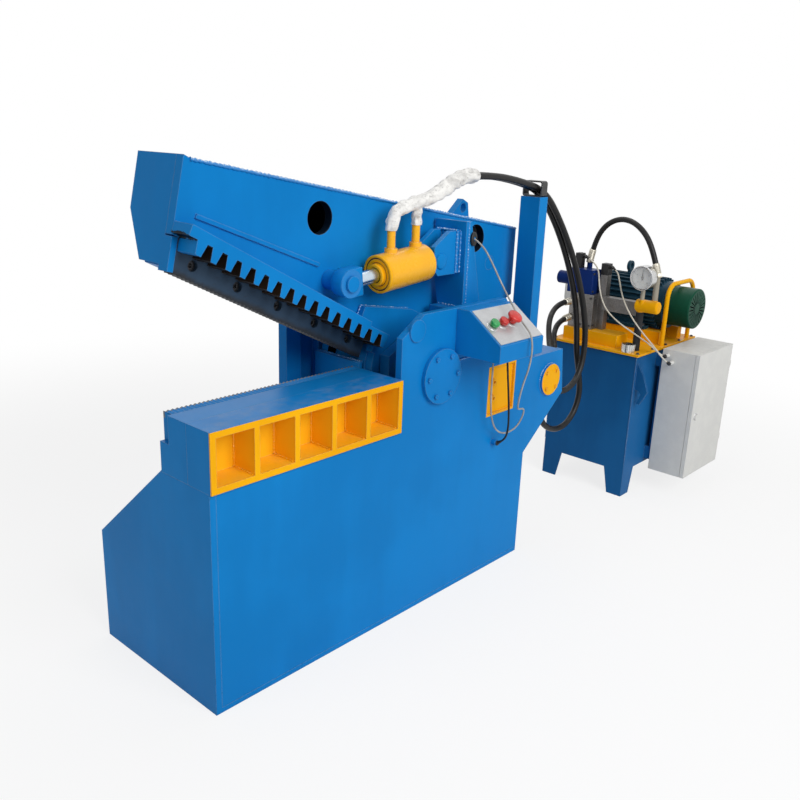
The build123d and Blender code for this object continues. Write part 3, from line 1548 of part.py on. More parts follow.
# Tank: an open-topped box on four tapered legs, with a hook and a cabinet mount.
tank_mid_x = tank_x + tank_length * half
tank_mid_y = tank_near_y + tank_width * half
mount_y = tank_near_y - mount_gap
with BuildPart() as tank:
    with BuildSketch(Plane.XY.offset(tank_low_z)):
        with Locations((tank_mid_x, tank_mid_y)):
            Rectangle(tank_length, tank_width)
    extrude(amount=tank_high_z - tank_low_z)
    with BuildSketch(Plane.XY.offset(tank_low_z + tank_wall)):
        with Locations((tank_mid_x, tank_mid_y)):
            Rectangle(tank_length - tank_wall - tank_wall, tank_width - tank_wall - tank_wall)
    extrude(amount=tank_high_z - tank_low_z, mode=Mode.SUBTRACT)
    for skirt_x in (tank_x, tank_rear_x - tank_wall):
        with BuildSketch(Plane.YZ.offset(skirt_x)):
            with BuildLine():
                Polyline(
                    (tank_near_y, tank_low_z), (tank_near_y, 0), (tank_near_y + leg_foot_width, 0),
                    (tank_near_y + leg_width, tank_low_z - skirt_height),
                    (tank_far_y - leg_width, tank_low_z - skirt_height), (tank_far_y - leg_foot_width, 0),
                    (tank_far_y, 0), (tank_far_y, tank_low_z), close=True,
                )
            make_face()
        extrude(amount=tank_wall)
    for skirt_y in (tank_near_y + tank_wall, tank_far_y):
        with BuildSketch(across(skirt_y)):
            with BuildLine():
                Polyline(
                    (tank_x, tank_low_z), (tank_x, 0), (tank_x + leg_foot_width, 0),
                    (tank_x + leg_width, tank_low_z - skirt_height),
                    (tank_rear_x - leg_width, tank_low_z - skirt_height),
                    (tank_rear_x - leg_foot_width, 0),
                    (tank_rear_x, 0), (tank_rear_x, tank_low_z), close=True,
                )
            make_face()
        extrude(amount=tank_wall)
    with BuildSketch(Plane.YZ.offset(tank_x + hook_inset)):
        with BuildLine():
            hook_height = hook_high_z - hook_low_z
            Polyline(
                (tank_near_y, hook_high_z),
                (tank_near_y - hook_reach * half, hook_high_z - hook_height * quarter_share),
                (tank_near_y - hook_reach, hook_low_z + hook_height * third_share),
                (tank_near_y - hook_reach * half, hook_low_z),
                (tank_near_y - hook_reach * quarter_share, hook_low_z),
                (tank_near_y - hook_reach * half, hook_low_z + hook_height * quarter_share),
                (tank_near_y - hook_reach * quarter_share, hook_low_z + hook_height * third_share),
                (tank_near_y, hook_low_z + hook_height * third_share), close=True,
            )
        make_face()
    extrude(amount=hook_thickness)
    with BuildSketch(across(mount_y)):
        with Locations((mount_x + mount_width * half, mount_low_z + mount_height * half)):
            Rectangle(mount_width, mount_height)
    extrude(amount=mount_thickness)
    for bracket_z in (mount_low_z, mount_low_z + mount_height - mount_bracket_height):
        with BuildSketch(across(tank_near_y)):
            with Locations((mount_x + mount_width * half, bracket_z + mount_bracket_height * half)):
                with GridLocations(
                    mount_width - mount_bracket_width, mount_height, pair_count, single_count,
                ):
                    Rectangle(mount_bracket_width, mount_bracket_height)
        extrude(amount=mount_gap)
tank.part.label = "tank"
export_step(tank.part, "parts/tank.step")

# Tank top: cover plate, three rails and the pipe hoop in front of the motor.
rail_spans = (
    (front_rail_x, front_rail_width, front_rail_near_y, front_rail_length),
    (mid_rail_x, rail_width, rail_near_y, rail_length),
    (rear_rail_x, rail_width, rail_near_y, rail_length),
)
with BuildPart() as tank_top:
    with BuildSketch(Plane.XY.offset(tank_high_z)):
        with Locations((tank_mid_x, tank_mid_y)):
            Rectangle(
                tank_length + tank_top_overhang + tank_top_overhang,
                tank_width + tank_top_overhang + tank_top_overhang,
            )
    extrude(amount=tank_top_thickness)
    for rail_x, width, rail_start, length in rail_spans:
        with BuildSketch(Plane.XY.offset(tank_top_z)):
            with Locations((rail_x + width * half, rail_start + length * half)):
                Rectangle(width, length)
        extrude(amount=rail_height)
    with BuildSketch(Plane.XY.offset(tank_top_z)):
        with Locations((breather_x, breather_y)):
            Circle(breather_neck_radius)
    extrude(amount=breather_neck_height)
    with BuildLine() as hoop_line:
        FilletPolyline(
            (hoop_near_x, hoop_y, tank_top_z), (hoop_near_x, hoop_y, hoop_top_z),
            (hoop_far_x, hoop_y, hoop_top_z), (hoop_far_x, hoop_y, tank_top_z), radius=hoop_bend_radius,
        )
    with BuildSketch(Plane.XY.offset(tank_top_z)):
        with Locations((hoop_near_x, hoop_y)):
            Circle(hoop_radius)
    sweep(path=hoop_line.line)
tank_top.part.label = "tank_top"
export_step(tank_top.part, "parts/tank_top.step")

# Motor body: finned frame with end shields, feet, terminal box and lifting eye.
motor_far_y = motor_near_y + motor_length
with BuildPart() as motor_body:
    with BuildSketch(across(motor_far_y)):
        with Locations((motor_x, motor_z)):
            Circle(motor_core_radius)
    extrude(amount=motor_length)
    with BuildSketch(across(motor_far_y - motor_shield_length)):
        with Locations((motor_x, motor_z)):
            with PolarLocations(0, motor_fin_count):
                with Locations(((motor_core_radius + motor_fin_radius) * half - motor_fin_thickness, 0)):
                    Rectangle(
                        motor_fin_radius - motor_core_radius + motor_fin_thickness, motor_fin_thickness,
                    )
    extrude(amount=motor_length - motor_shield_length - motor_shield_length)
    with BuildSketch(Plane.XY.offset(rail_top_z)):
        with Locations((motor_x, motor_near_y + motor_length * half)):
            with GridLocations(rear_rail_x - mid_rail_x, motor_length, pair_count, single_count):
                Rectangle(motor_foot_width, motor_foot_length)
    extrude(amount=motor_foot_thickness)
    with BuildSketch(Plane.XY.offset(rail_top_z)):
        with Locations((motor_x, motor_near_y + motor_length * half)):
            Rectangle(rear_rail_x - mid_rail_x, motor_foot_length - motor_foot_width)
    extrude(amount=motor_z - motor_core_radius * half - rail_top_z)
    with BuildSketch(Plane.YZ.offset(motor_x + motor_core_radius * half)):
        with Locations((motor_near_y + motor_length * half, motor_z)):
            Rectangle(terminal_box_width, terminal_box_height)
    extrude(amount=motor_fin_radius - motor_core_radius * half + terminal_box_depth)
    with BuildSketch(across(motor_eye_y + motor_eye_thickness * half)):
        with BuildLine():
            Polyline(
                (motor_x - motor_eye_radius * half, motor_z + motor_core_radius * half),
                (motor_x + motor_eye_radius * half, motor_z + motor_core_radius * half),
                (motor_x + motor_eye_radius * half, motor_eye_z),
                (motor_x - motor_eye_radius * half, motor_eye_z),
                close=True,
            )
        make_face()
        with Locations((motor_x, motor_eye_z)):
            Circle(motor_eye_radius)
            Circle(motor_eye_bore, mode=Mode.SUBTRACT)
    extrude(amount=motor_eye_thickness)
    with BuildSketch(across(motor_far_y - motor_shield_length)):
        with Locations((motor_x, motor_z)):
            Circle(motor_bore_radius)
    extrude(amount=motor_length - motor_shield_length - motor_shield_length, mode=Mode.SUBTRACT)
    with BuildSketch(across(motor_far_y + overrun)):
        with Locations((motor_x, motor_z)):
            Circle(shaft_radius + running_clearance)
    extrude(amount=motor_length + overrun + overrun, mode=Mode.SUBTRACT)
motor_body.part.label = "motor_body"
export_step(motor_body.part, "parts/motor_body.step")

# Motor cowl: a sheet cup with a ring of slots in its end.
cowl_near_y = motor_near_y - cowl_length
with BuildPart() as motor_cowl:
    with BuildSketch(across(motor_near_y)):
        with Locations((motor_x, motor_z)):
            Circle(cowl_radius)
    extrude(amount=cowl_length)
    fillet(motor_cowl.edges().filter_by(GeomType.CIRCLE).sort_by(Axis.Y)[:1], radius=cowl_wall + cowl_wall)
    with BuildSketch(across(motor_near_y)):
        with Locations((motor_x, motor_z)):
            Circle(cowl_radius - cowl_wall)
    extrude(amount=cowl_length - cowl_wall - cowl_wall, mode=Mode.SUBTRACT)
    with BuildSketch(across(cowl_near_y + cowl_wall + cowl_wall + cowl_wall)):
        with Locations((motor_x, motor_z)):
            with PolarLocations(0, cowl_slot_count):
                with Locations(((cowl_slot_inner_radius + cowl_slot_outer_radius) * half, 0)):
                    Rectangle(cowl_slot_outer_radius - cowl_slot_inner_radius, cowl_slot_width)
    extrude(amount=cowl_length, mode=Mode.SUBTRACT)
motor_cowl.part.label = "motor_cowl"
export_step(motor_cowl.part, "parts/motor_cowl.step")

# Motor rotor: shaft, core and the fan under the cowl.
with BuildPart() as motor_rotor:
    with BuildSketch(across(motor_far_y + shaft_far_reach)):
        with Locations((motor_x, motor_z)):
            Circle(shaft_radius)
    extrude(amount=motor_length + shaft_far_reach + shaft_near_reach)
    with BuildSketch(across(motor_far_y - motor_shield_length - overrun)):
        with Locations((motor_x, motor_z)):
            Circle(rotor_core_radius)
    extrude(amount=motor_length - motor_shield_length - motor_shield_length - overrun - overrun)
    with BuildSketch(across(motor_near_y - shaft_near_reach + fan_hub_length)):
        with Locations((motor_x, motor_z)):
            Circle(fan_hub_radius)
            with PolarLocations(0, fan_blade_count):
                with Locations((fan_radius * half, 0)):
                    Rectangle(fan_radius, fan_blade_thickness)
    extrude(amount=fan_hub_length)
motor_rotor.part.label = "motor_rotor"
export_step(motor_rotor.part, "parts/motor_rotor.step")

# Pump unit: bell housing on the motor's end and the gear pump behind it.
pump_y = motor_far_y + bell_length
with BuildPart() as pump_unit:
    with BuildSketch(across(pump_y)):
        with Locations((motor_x, motor_z)):
            Circle(bell_radius)
    extrude(amount=bell_length)
    with BuildSketch(across(pump_y - bell_wall)):
        with Locations((motor_x, motor_z)):
            Circle(bell_radius - bell_wall)
    extrude(amount=bell_length, mode=Mode.SUBTRACT)
    with BuildSketch(across(pump_y + pump_length)):
        with Locations((motor_x, motor_z)):
            RectangleRounded(pump_width, pump_height, pump_width * quarter_share)
    extrude(amount=pump_length)
pump_unit.part.label = "pump_unit"
export_step(pump_unit.part, "parts/pump_unit.step")

# Valve block on the front rail, with the fittings for two hoses and the bar to the manifold.
pressure_bar_far_y = valve_y - second_valve_width
with BuildPart() as valve_block:
    with BuildSketch(Plane.XY.offset(rail_top_z)):
        with Locations((valve_x + valve_depth * half, valve_y + valve_width * half)):
            Rectangle(valve_depth, valve_width)
    extrude(amount=valve_top_z - rail_top_z)
    with BuildSketch(Plane.XY.offset(rail_top_z)):
        with Locations((second_valve_x + second_valve_depth * half, valve_y - second_valve_width * half)):
            Rectangle(second_valve_depth, second_valve_width)
    extrude(amount=second_valve_top_z - rail_top_z)
    with BuildSketch(Plane.YZ.offset(valve_x)):
        with Locations((valve_fitting_y, valve_fitting_high_z), (valve_fitting_y, valve_fitting_low_z)):
            Circle(fitting_radius)
    extrude(amount=-fitting_length)
    with BuildSketch(across(pressure_bar_far_y)):
        with Locations(
            (pressure_bar_x + pressure_bar_depth * half, pressure_bar_low_z + pressure_bar_height * half),
        ):
            Rectangle(pressure_bar_depth, pressure_bar_height)
    extrude(amount=pressure_bar_far_y - manifold_near_y - manifold_length)
valve_block.part.label = "valve_block"
export_step(valve_block.part, "parts/valve_block.step")

# Solenoid coils on the valve block, with a round cap at the far end.
coil_top_z = valve_top_z + coil_height
with BuildPart() as solenoid_coils:
    with BuildSketch(Plane.XY.offset(valve_top_z)):
        with Locations((valve_x + valve_depth * half, coil_near_y + coil_length * half)):
            Rectangle(valve_depth - coil_inset - coil_inset, coil_length)
    extrude(amount=coil_height)
    with BuildSketch(across(coil_near_y + coil_length)):
        with Locations((valve_x + valve_depth * half, coil_cap_z)):
            Circle(coil_cap_radius)
    extrude(amount=-coil_cap_length)
    with BuildSketch(Plane.XY.offset(coil_top_z)):
        with Locations((top_fitting_x, top_fitting_y)):
            Circle(top_fitting_radius)
    extrude(amount=top_fitting_height)
solenoid_coils.part.label = "solenoid_coils"
export_step(solenoid_coils.part, "parts/solenoid_coils.step")

# Cable plugs on the coils and on the second valve.
with BuildPart() as valve_plugs:
    with BuildSketch(Plane.XY.offset(coil_top_z)):
        with Locations((plug_x + plug_depth * half, plug_y + plug_width * half)):
            Rectangle(plug_depth, plug_width)
    extrude(amount=plug_height)
    with BuildSketch(across(plug_y)):
        with Locations((plug_x + plug_depth * half, first_plug_gland_z)):
            Circle(plug_gland_radius)
    extrude(amount=plug_gland_length)
    with BuildSketch(Plane.XY.offset(second_valve_top_z)):
        with Locations((second_valve_x + second_valve_depth * half, valve_y - second_valve_width * half)):
            Rectangle(second_valve_depth, second_valve_width)
    extrude(amount=second_plug_height)
    with BuildSketch(across(valve_y - second_valve_width)):
        with Locations((second_plug_gland_x, second_plug_gland_z)):
            Circle(plug_gland_radius)
    extrude(amount=plug_gland_length)
valve_plugs.part.label = "valve_plugs"
export_step(valve_plugs.part, "parts/valve_plugs.step")

# Pressure manifold: a short thick pipe on a stand, with a stem and a fitting.
with BuildPart() as pressure_manifold:
    with BuildSketch(across(manifold_near_y + manifold_length)):
        with Locations((manifold_x, manifold_z)):
            Circle(manifold_radius)
    extrude(amount=manifold_length)
    fillet(pressure_manifold.edges().filter_by(GeomType.CIRCLE), radius=manifold_radius * third_share)
    with BuildSketch(Plane.XY.offset(tank_top_z)):
        with Locations((manifold_x, stand_y)):
            Circle(stand_radius)
    extrude(amount=manifold_z - tank_top_z)
    with BuildSketch(Plane.XY.offset(manifold_z)):
        with Locations((manifold_fitting_x, manifold_fitting_y)):
            Circle(top_fitting_radius)
    extrude(amount=manifold_fitting_top_z - manifold_z)
    with BuildSketch(Plane.XY.offset(manifold_z)):
        with Locations((gauge_stem_x, gauge_y)):
            Circle(gauge_stem_radius)
    extrude(amount=gauge_z - gauge_radius - manifold_z)
pressure_manifold.part.label = "pressure_manifold"
export_step(pressure_manifold.part, "parts/pressure_manifold.step")

# Gauge case: a round cup with the dial set back behind its rim.
with BuildPart() as gauge_case:
    with BuildSketch(Plane.YZ.offset(gauge_x)):
        with Locations((gauge_y, gauge_z)):
            Circle(gauge_radius)
    extrude(amount=gauge_depth)
    with BuildSketch(Plane.YZ.offset(gauge_x)):
        with Locations((gauge_y, gauge_z)):
            Circle(gauge_radius - gauge_rim)
    extrude(amount=gauge_dial_depth, mode=Mode.SUBTRACT)
    with BuildSketch(Plane.YZ.offset(gauge_x + gauge_dial_depth)):
        with Locations((gauge_y, gauge_z)):
            Circle(needle_pin_radius)
    extrude(amount=-(gauge_dial_depth - needle_lift))
    with BuildSketch(Plane.XY.offset(gauge_z - gauge_radius)):
        with Locations((gauge_stem_x, gauge_y)):
            Circle(gauge_stem_radius)
    extrude(amount=gauge_rim + gauge_rim)
gauge_case.part.label = "gauge_case"
export_step(gauge_case.part, "parts/gauge_case.step")

# Gauge needle on its centre pin.
needle_face_x = gauge_x + gauge_dial_depth - needle_lift
with BuildPart() as gauge_needle:
    with BuildSketch(Plane.YZ.offset(needle_face_x)):
        with BuildLine():
            Polyline(
                (gauge_y - needle_width * half, gauge_z - needle_tail),
                (gauge_y + needle_width * half, gauge_z - needle_tail),
                (gauge_y, gauge_z + needle_length), close=True,
            )
        make_face()
        with Locations((gauge_y, gauge_z)):
            Circle(needle_pin_radius + needle_thickness)
            Circle(needle_pin_radius + running_clearance, mode=Mode.SUBTRACT)
    extrude(amount=-needle_thickness)
gauge_needle.part.label = "gauge_needle"
export_step(gauge_needle.part, "parts/gauge_needle.step")

# Breather cap: a ribbed cap that screws on the filler neck.
with BuildPart() as breather_cap:
    with BuildSketch(Plane.XY.offset(tank_top_z + standing_clearance)):
        with Locations((breather_x, breather_y)):
            Circle(breather_radius)
            with PolarLocations(breather_radius, breather_rib_count):
                Circle(breather_rib_radius, mode=Mode.SUBTRACT)
    extrude(amount=breather_height)
    with BuildSketch(Plane.XY.offset(tank_top_z)):
        with Locations((breather_x, breather_y)):
            Circle(breather_neck_radius + running_clearance)
    extrude(amount=breather_neck_height + standing_clearance, mode=Mode.SUBTRACT)
breather_cap.part.label = "breather_cap"
export_step(breather_cap.part, "parts/breather_cap.step")

# Cabinet: a sheet box, open to the front, with switchgear on its back wall.
cabinet_back_y = mount_y - mount_thickness
cabinet_front_y = cabinet_back_y - cabinet_depth
cabinet_mid_x = cabinet_x + cabinet_width * half
cabinet_mid_z = cabinet_low_z + cabinet_height * half
hinge_x = cabinet_x + cabinet_width + hinge_radius
hinge_y = cabinet_front_y
hinge_heights = (cabinet_low_z + hinge_inset, cabinet_low_z + cabinet_height - hinge_inset - hinge_length)
with BuildPart() as cabinet:
    with BuildSketch(across(cabinet_back_y)):
        with Locations((cabinet_mid_x, cabinet_mid_z)):
            Rectangle(cabinet_width, cabinet_height)
    extrude(amount=cabinet_depth)
    with BuildSketch(across(cabinet_back_y - cabinet_wall)):
        with Locations((cabinet_mid_x, cabinet_mid_z)):
            Rectangle(
                cabinet_width - cabinet_wall - cabinet_wall, cabinet_height - cabinet_wall - cabinet_wall,
            )
    extrude(amount=cabinet_depth - cabinet_wall - cabinet_wall, mode=Mode.SUBTRACT)
    with BuildSketch(across(cabinet_back_y - cabinet_wall)):
        with Locations((cabinet_mid_x, cabinet_mid_z)):
            Rectangle(cabinet_width - cabinet_lip - cabinet_lip, cabinet_height - cabinet_lip - cabinet_lip)
    extrude(amount=cabinet_depth, mode=Mode.SUBTRACT)
    with BuildSketch(across(cabinet_back_y - cabinet_wall)):
        with Locations((cabinet_mid_x, cabinet_mid_z)):
            with GridLocations(switchgear_width, switchgear_height * half, single_count, pair_count):
                Rectangle(switchgear_width, switchgear_height * quarter_share)
    extrude(amount=switchgear_depth)
    with BuildSketch(Plane.YZ.offset(cabinet_x)):
        with Locations((cabinet_gland_y, cabinet_gland_z), (second_gland_y, second_gland_z)):
            Circle(cabinet_gland_radius)
    extrude(amount=-cabinet_gland_length)
    for hinge_z in hinge_heights:
        with BuildSketch(Plane.XY.offset(hinge_z)):
            with Locations((hinge_x, hinge_y)):
                Circle(hinge_radius)
            with Locations((hinge_x - hinge_radius * half, hinge_y + hinge_leaf_width * half)):
                Rectangle(hinge_radius, hinge_leaf_width)
        extrude(amount=hinge_length * half - standing_clearance)
        with BuildSketch(Plane.XY.offset(hinge_z)):
            with Locations((hinge_x, hinge_y)):
                Circle(hinge_pin_radius)
        extrude(amount=hinge_length)
cabinet.part.label = "cabinet"
export_step(cabinet.part, "parts/cabinet.step")

# Cabinet door: a folded tray that swings on two pin hinges.
door_back_y = cabinet_front_y - door_gap
with BuildPart() as cabinet_door:
    with BuildSketch(across(door_back_y)):
        with Locations((cabinet_mid_x, cabinet_mid_z)):
            Rectangle(cabinet_width, cabinet_height)
    extrude(amount=door_thickness)
    with BuildSketch(across(door_back_y)):
        with Locations((cabinet_mid_x, cabinet_mid_z)):
            Rectangle(cabinet_width - door_wall - door_wall, cabinet_height - door_wall - door_wall)
    extrude(amount=door_thickness - door_wall, mode=Mode.SUBTRACT)
    with BuildSketch(across(door_back_y - door_thickness)):
        with Locations((cabinet_x + hinge_inset * half, cabinet_mid_z)):
            Circle(door_lock_radius)
    extrude(amount=door_lock_height)
    for hinge_z in hinge_heights:
        with BuildSketch(Plane.XY.offset(hinge_z + hinge_length * half)):
            with Locations((hinge_x, hinge_y)):
                Circle(hinge_radius)
            with Locations((hinge_x - hinge_radius * half, door_back_y - door_thickness * half)):
                Rectangle(hinge_radius, door_thickness)
            with Locations((hinge_x - hinge_radius * half, hinge_y - door_gap)):
                Rectangle(hinge_radius, door_gap + door_gap)
            with Locations((hinge_x, hinge_y)):
                Circle(hinge_pin_radius + running_clearance, mode=Mode.SUBTRACT)
        extrude(amount=hinge_length * half)
cabinet_door.part.label = "cabinet_door"
export_step(cabinet_door.part, "parts/cabinet_door.step")


def bend_radii(route):
    radii = []
    for before, corner, after in zip(route, route[1:], route[2:]):
        run_in = Vector(*corner) - Vector(*before)
        run_out = Vector(*after) - Vector(*corner)
        turn = math.radians(run_in.get_angle(run_out))
        radii.append(run_share * min(run_in.length, run_out.length) / math.tan(turn * half))
    return radii


def first_run_plane(route):
    return Plane(origin=route[0], z_dir=Vector(*route[1]) - Vector(*route[0]))


# Two hoses from the sleeve over the hose post to the port block.
with BuildPart() as near_post_hose:
    with BuildLine() as near_post_hose_line:
        FilletPolyline(*near_post_hose_route, radius=bend_radii(near_post_hose_route))
    with BuildSketch(first_run_plane(near_post_hose_route)):
        Circle(hose_diameter * half)
    sweep(path=near_post_hose_line.line)
near_post_hose.part.label = "near_post_hose"
export_step(near_post_hose.part, "parts/near_post_hose.step")

with BuildPart() as far_post_hose:
    with BuildLine() as far_post_hose_line:
        FilletPolyline(*far_post_hose_route, radius=bend_radii(far_post_hose_route))
    with BuildSketch(first_run_plane(far_post_hose_route)):
        Circle(hose_diameter * half)
    sweep(path=far_post_hose_line.line)
far_post_hose.part.label = "far_post_hose"
export_step(far_post_hose.part, "parts/far_post_hose.step")

# Two hoses from the valve block to the port block.
with BuildPart() as high_valve_hose:
    with BuildLine() as high_valve_hose_line:
        FilletPolyline(*high_valve_hose_route, radius=bend_radii(high_valve_hose_route))
    with BuildSketch(first_run_plane(high_valve_hose_route)):
        Circle(hose_diameter * half)
    sweep(path=high_valve_hose_line.line)
high_valve_hose.part.label = "high_valve_hose"
export_step(high_valve_hose.part, "parts/high_valve_hose.step")

with BuildPart() as low_valve_hose:
    with BuildLine() as low_valve_hose_line:
        FilletPolyline(*low_valve_hose_route, radius=bend_radii(low_valve_hose_route))
    with BuildSketch(first_run_plane(low_valve_hose_route)):
        Circle(hose_diameter * half)
    sweep(path=low_valve_hose_line.line)
low_valve_hose.part.label = "low_valve_hose"
export_step(low_valve_hose.part, "parts/low_valve_hose.step")

# The hose that arches from the valve to the manifold.
with BuildPart() as top_hose:
    with BuildLine() as top_hose_line:
        FilletPolyline(*top_hose_route, radius=bend_radii(top_hose_route))
    with BuildSketch(first_run_plane(top_hose_route)):
        Circle(hose_diameter * half)
    sweep(path=top_hose_line.line)
top_hose.part.label = "top_hose"
export_step(top_hose.part, "parts/top_hose.step")

# Two pale cables from the valve plugs to the cabinet.
with BuildPart() as first_cable:
    with BuildLine() as first_cable_line:
        FilletPolyline(*first_cable_route, radius=bend_radii(first_cable_route))
    with BuildSketch(first_run_plane(first_cable_route)):
        Circle(cable_diameter * half)
    sweep(path=first_cable_line.line)
first_cable.part.label = "first_cable"
export_step(first_cable.part, "parts/first_cable.step")

with BuildPart() as second_cable:
    with BuildLine() as second_cable_line:
        FilletPolyline(*second_cable_route, radius=bend_radii(second_cable_route))
    with BuildSketch(first_run_plane(second_cable_route)):
        Circle(cable_diameter * half)
    sweep(path=second_cable_line.line)
second_cable.part.label = "second_cable"
export_step(second_cable.part, "parts/second_cable.step")

# Grey wire from the post's gusset to the desk.
with BuildPart() as grey_wire:
    with BuildLine() as grey_wire_line:
        FilletPolyline(*grey_wire_route, radius=bend_radii(grey_wire_route))
    with BuildSketch(first_run_plane(grey_wire_route)):
        Circle(wire_diameter * half)
    sweep(path=grey_wire_line.line)
grey_wire.part.label = "grey_wire"
export_step(grey_wire.part, "parts/grey_wire.step")

# Black cable from the desk to the gland in the side plate.
with BuildPart() as black_cable:
    with BuildLine() as black_cable_line:
        FilletPolyline(*black_cable_route, radius=bend_radii(black_cable_route))
    with BuildSketch(first_run_plane(black_cable_route)):
        Circle(black_diameter * half)
    sweep(path=black_cable_line.line)
black_cable.part.label = "black_cable"
export_step(black_cable.part, "parts/black_cable.step")

# Sleeve wrapped round both hoses from the cylinder's port pipes.
with BuildPart() as hose_sleeve:
    with BuildLine() as hose_sleeve_line:
        FilletPolyline(*sleeve_route, radius=bend_radii(sleeve_route))
    with BuildSketch(first_run_plane(sleeve_route)):
        Circle(sleeve_diameter * half)
    sweep(path=hose_sleeve_line.line)
    with BuildSketch(Plane.XY.offset(port_pipe_two_top_z)):
        with Locations((port_pipe_two_x, return_y)):
            Circle(sleeve_branch_radius)
    extrude(amount=sleeve_diameter)
hose_sleeve.part.label = "hose_sleeve"
export_step(hose_sleeve.part, "parts/hose_sleeve.step")

cord_lines = (
    ("near_post_hose", near_post_hose_line),
    ("far_post_hose", far_post_hose_line),
    ("high_valve_hose", high_valve_hose_line),
    ("low_valve_hose", low_valve_hose_line),
    ("top_hose", top_hose_line),
    ("first_cable", first_cable_line),
    ("second_cable", second_cable_line),
    ("grey_wire", grey_wire_line),
    ("black_cable", black_cable_line),
)
for cord_name, cord_line in cord_lines:
    print(cord_name, "length", round(sum(edge.length for edge in cord_line.line.edges())))
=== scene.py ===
import bmesh
import bpy
import json
import math
from mathutils import Matrix, Vector, noise


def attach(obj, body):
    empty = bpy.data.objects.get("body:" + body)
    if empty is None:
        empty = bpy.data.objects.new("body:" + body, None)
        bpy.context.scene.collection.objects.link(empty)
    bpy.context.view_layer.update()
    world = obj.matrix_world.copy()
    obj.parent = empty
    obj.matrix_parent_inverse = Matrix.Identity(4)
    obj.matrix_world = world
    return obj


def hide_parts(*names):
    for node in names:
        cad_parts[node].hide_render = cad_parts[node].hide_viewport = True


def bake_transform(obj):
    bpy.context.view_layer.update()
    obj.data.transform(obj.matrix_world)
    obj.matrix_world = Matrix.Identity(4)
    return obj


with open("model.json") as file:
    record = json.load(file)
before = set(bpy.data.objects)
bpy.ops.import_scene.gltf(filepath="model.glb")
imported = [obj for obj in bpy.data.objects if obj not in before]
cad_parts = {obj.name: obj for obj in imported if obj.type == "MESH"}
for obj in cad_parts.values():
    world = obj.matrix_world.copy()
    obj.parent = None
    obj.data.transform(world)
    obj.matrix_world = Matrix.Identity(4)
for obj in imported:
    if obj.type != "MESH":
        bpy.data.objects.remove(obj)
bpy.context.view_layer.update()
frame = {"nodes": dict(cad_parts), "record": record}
scene = bpy.context.scene
scene.view_settings.view_transform = "Standard"
print("frame loaded with", len(frame["nodes"]), "nodes")

cameraSet = {"place": (-1.865, -1.948, 1.55), "yaw": 48.17, "pitch": 17.55, "roll": 2.13, "lens": 38.727}


def placeCamera(s):
    yaw, pitch, roll = (math.radians(s[k]) for k in ("yaw", "pitch", "roll"))
    ahead = Vector((math.sin(yaw) * math.cos(pitch), math.cos(yaw) * math.cos(pitch), -math.sin(pitch)))
    level = Vector((math.cos(yaw), -math.sin(yaw), 0))
    rise = level.cross(ahead)
    side = level * math.cos(roll) + rise * math.sin(roll)
    top = rise * math.cos(roll) - level * math.sin(roll)
    lens = bpy.data.cameras.new("shotCamera")
    lens.sensor_width, lens.lens = 36, s["lens"]
    shot = bpy.data.objects.new("shotCamera", lens)
    shot.matrix_world = Matrix.Translation(s["place"]) @ Matrix((side, top, -ahead)).transposed().to_4x4()
    scene.collection.objects.link(shot)
    scene.camera = shot


placeCamera(cameraSet)

jawSet = {"pivot": (0.186, 0.0, 0.801), "open": 26.2}
jawTurn = math.radians(jawSet["open"])
jawAlong = Vector((math.cos(jawTurn), 0, -math.sin(jawTurn)))
jawUp = Vector((math.sin(jawTurn), 0, math.cos(jawTurn)))


def jawPoint(x, y, z):
    return Vector(jawSet["pivot"]) + jawAlong * x + jawUp * z + Vector((0, y, 0))


class Tap:  # a socket that takes part in sums
    def __init__(self, finish, socket):
        self.finish, self.socket = finish, socket

    def calc(self, kind, a, b):
        return self.finish.node("ShaderNodeMath", {"operation": kind}, {0: a, 1: b})

    def __add__(self, other):
        return self.calc("ADD", self, other)

    def __radd__(self, other):
        return self.calc("ADD", other, self)

    def __sub__(self, other):
        return self.calc("SUBTRACT", self, other)

    def __rsub__(self, other):
        return self.calc("SUBTRACT", other, self)

    def __mul__(self, other):
        return self.calc("MULTIPLY", self, other)

    def __rmul__(self, other):
        return self.calc("MULTIPLY", other, self)


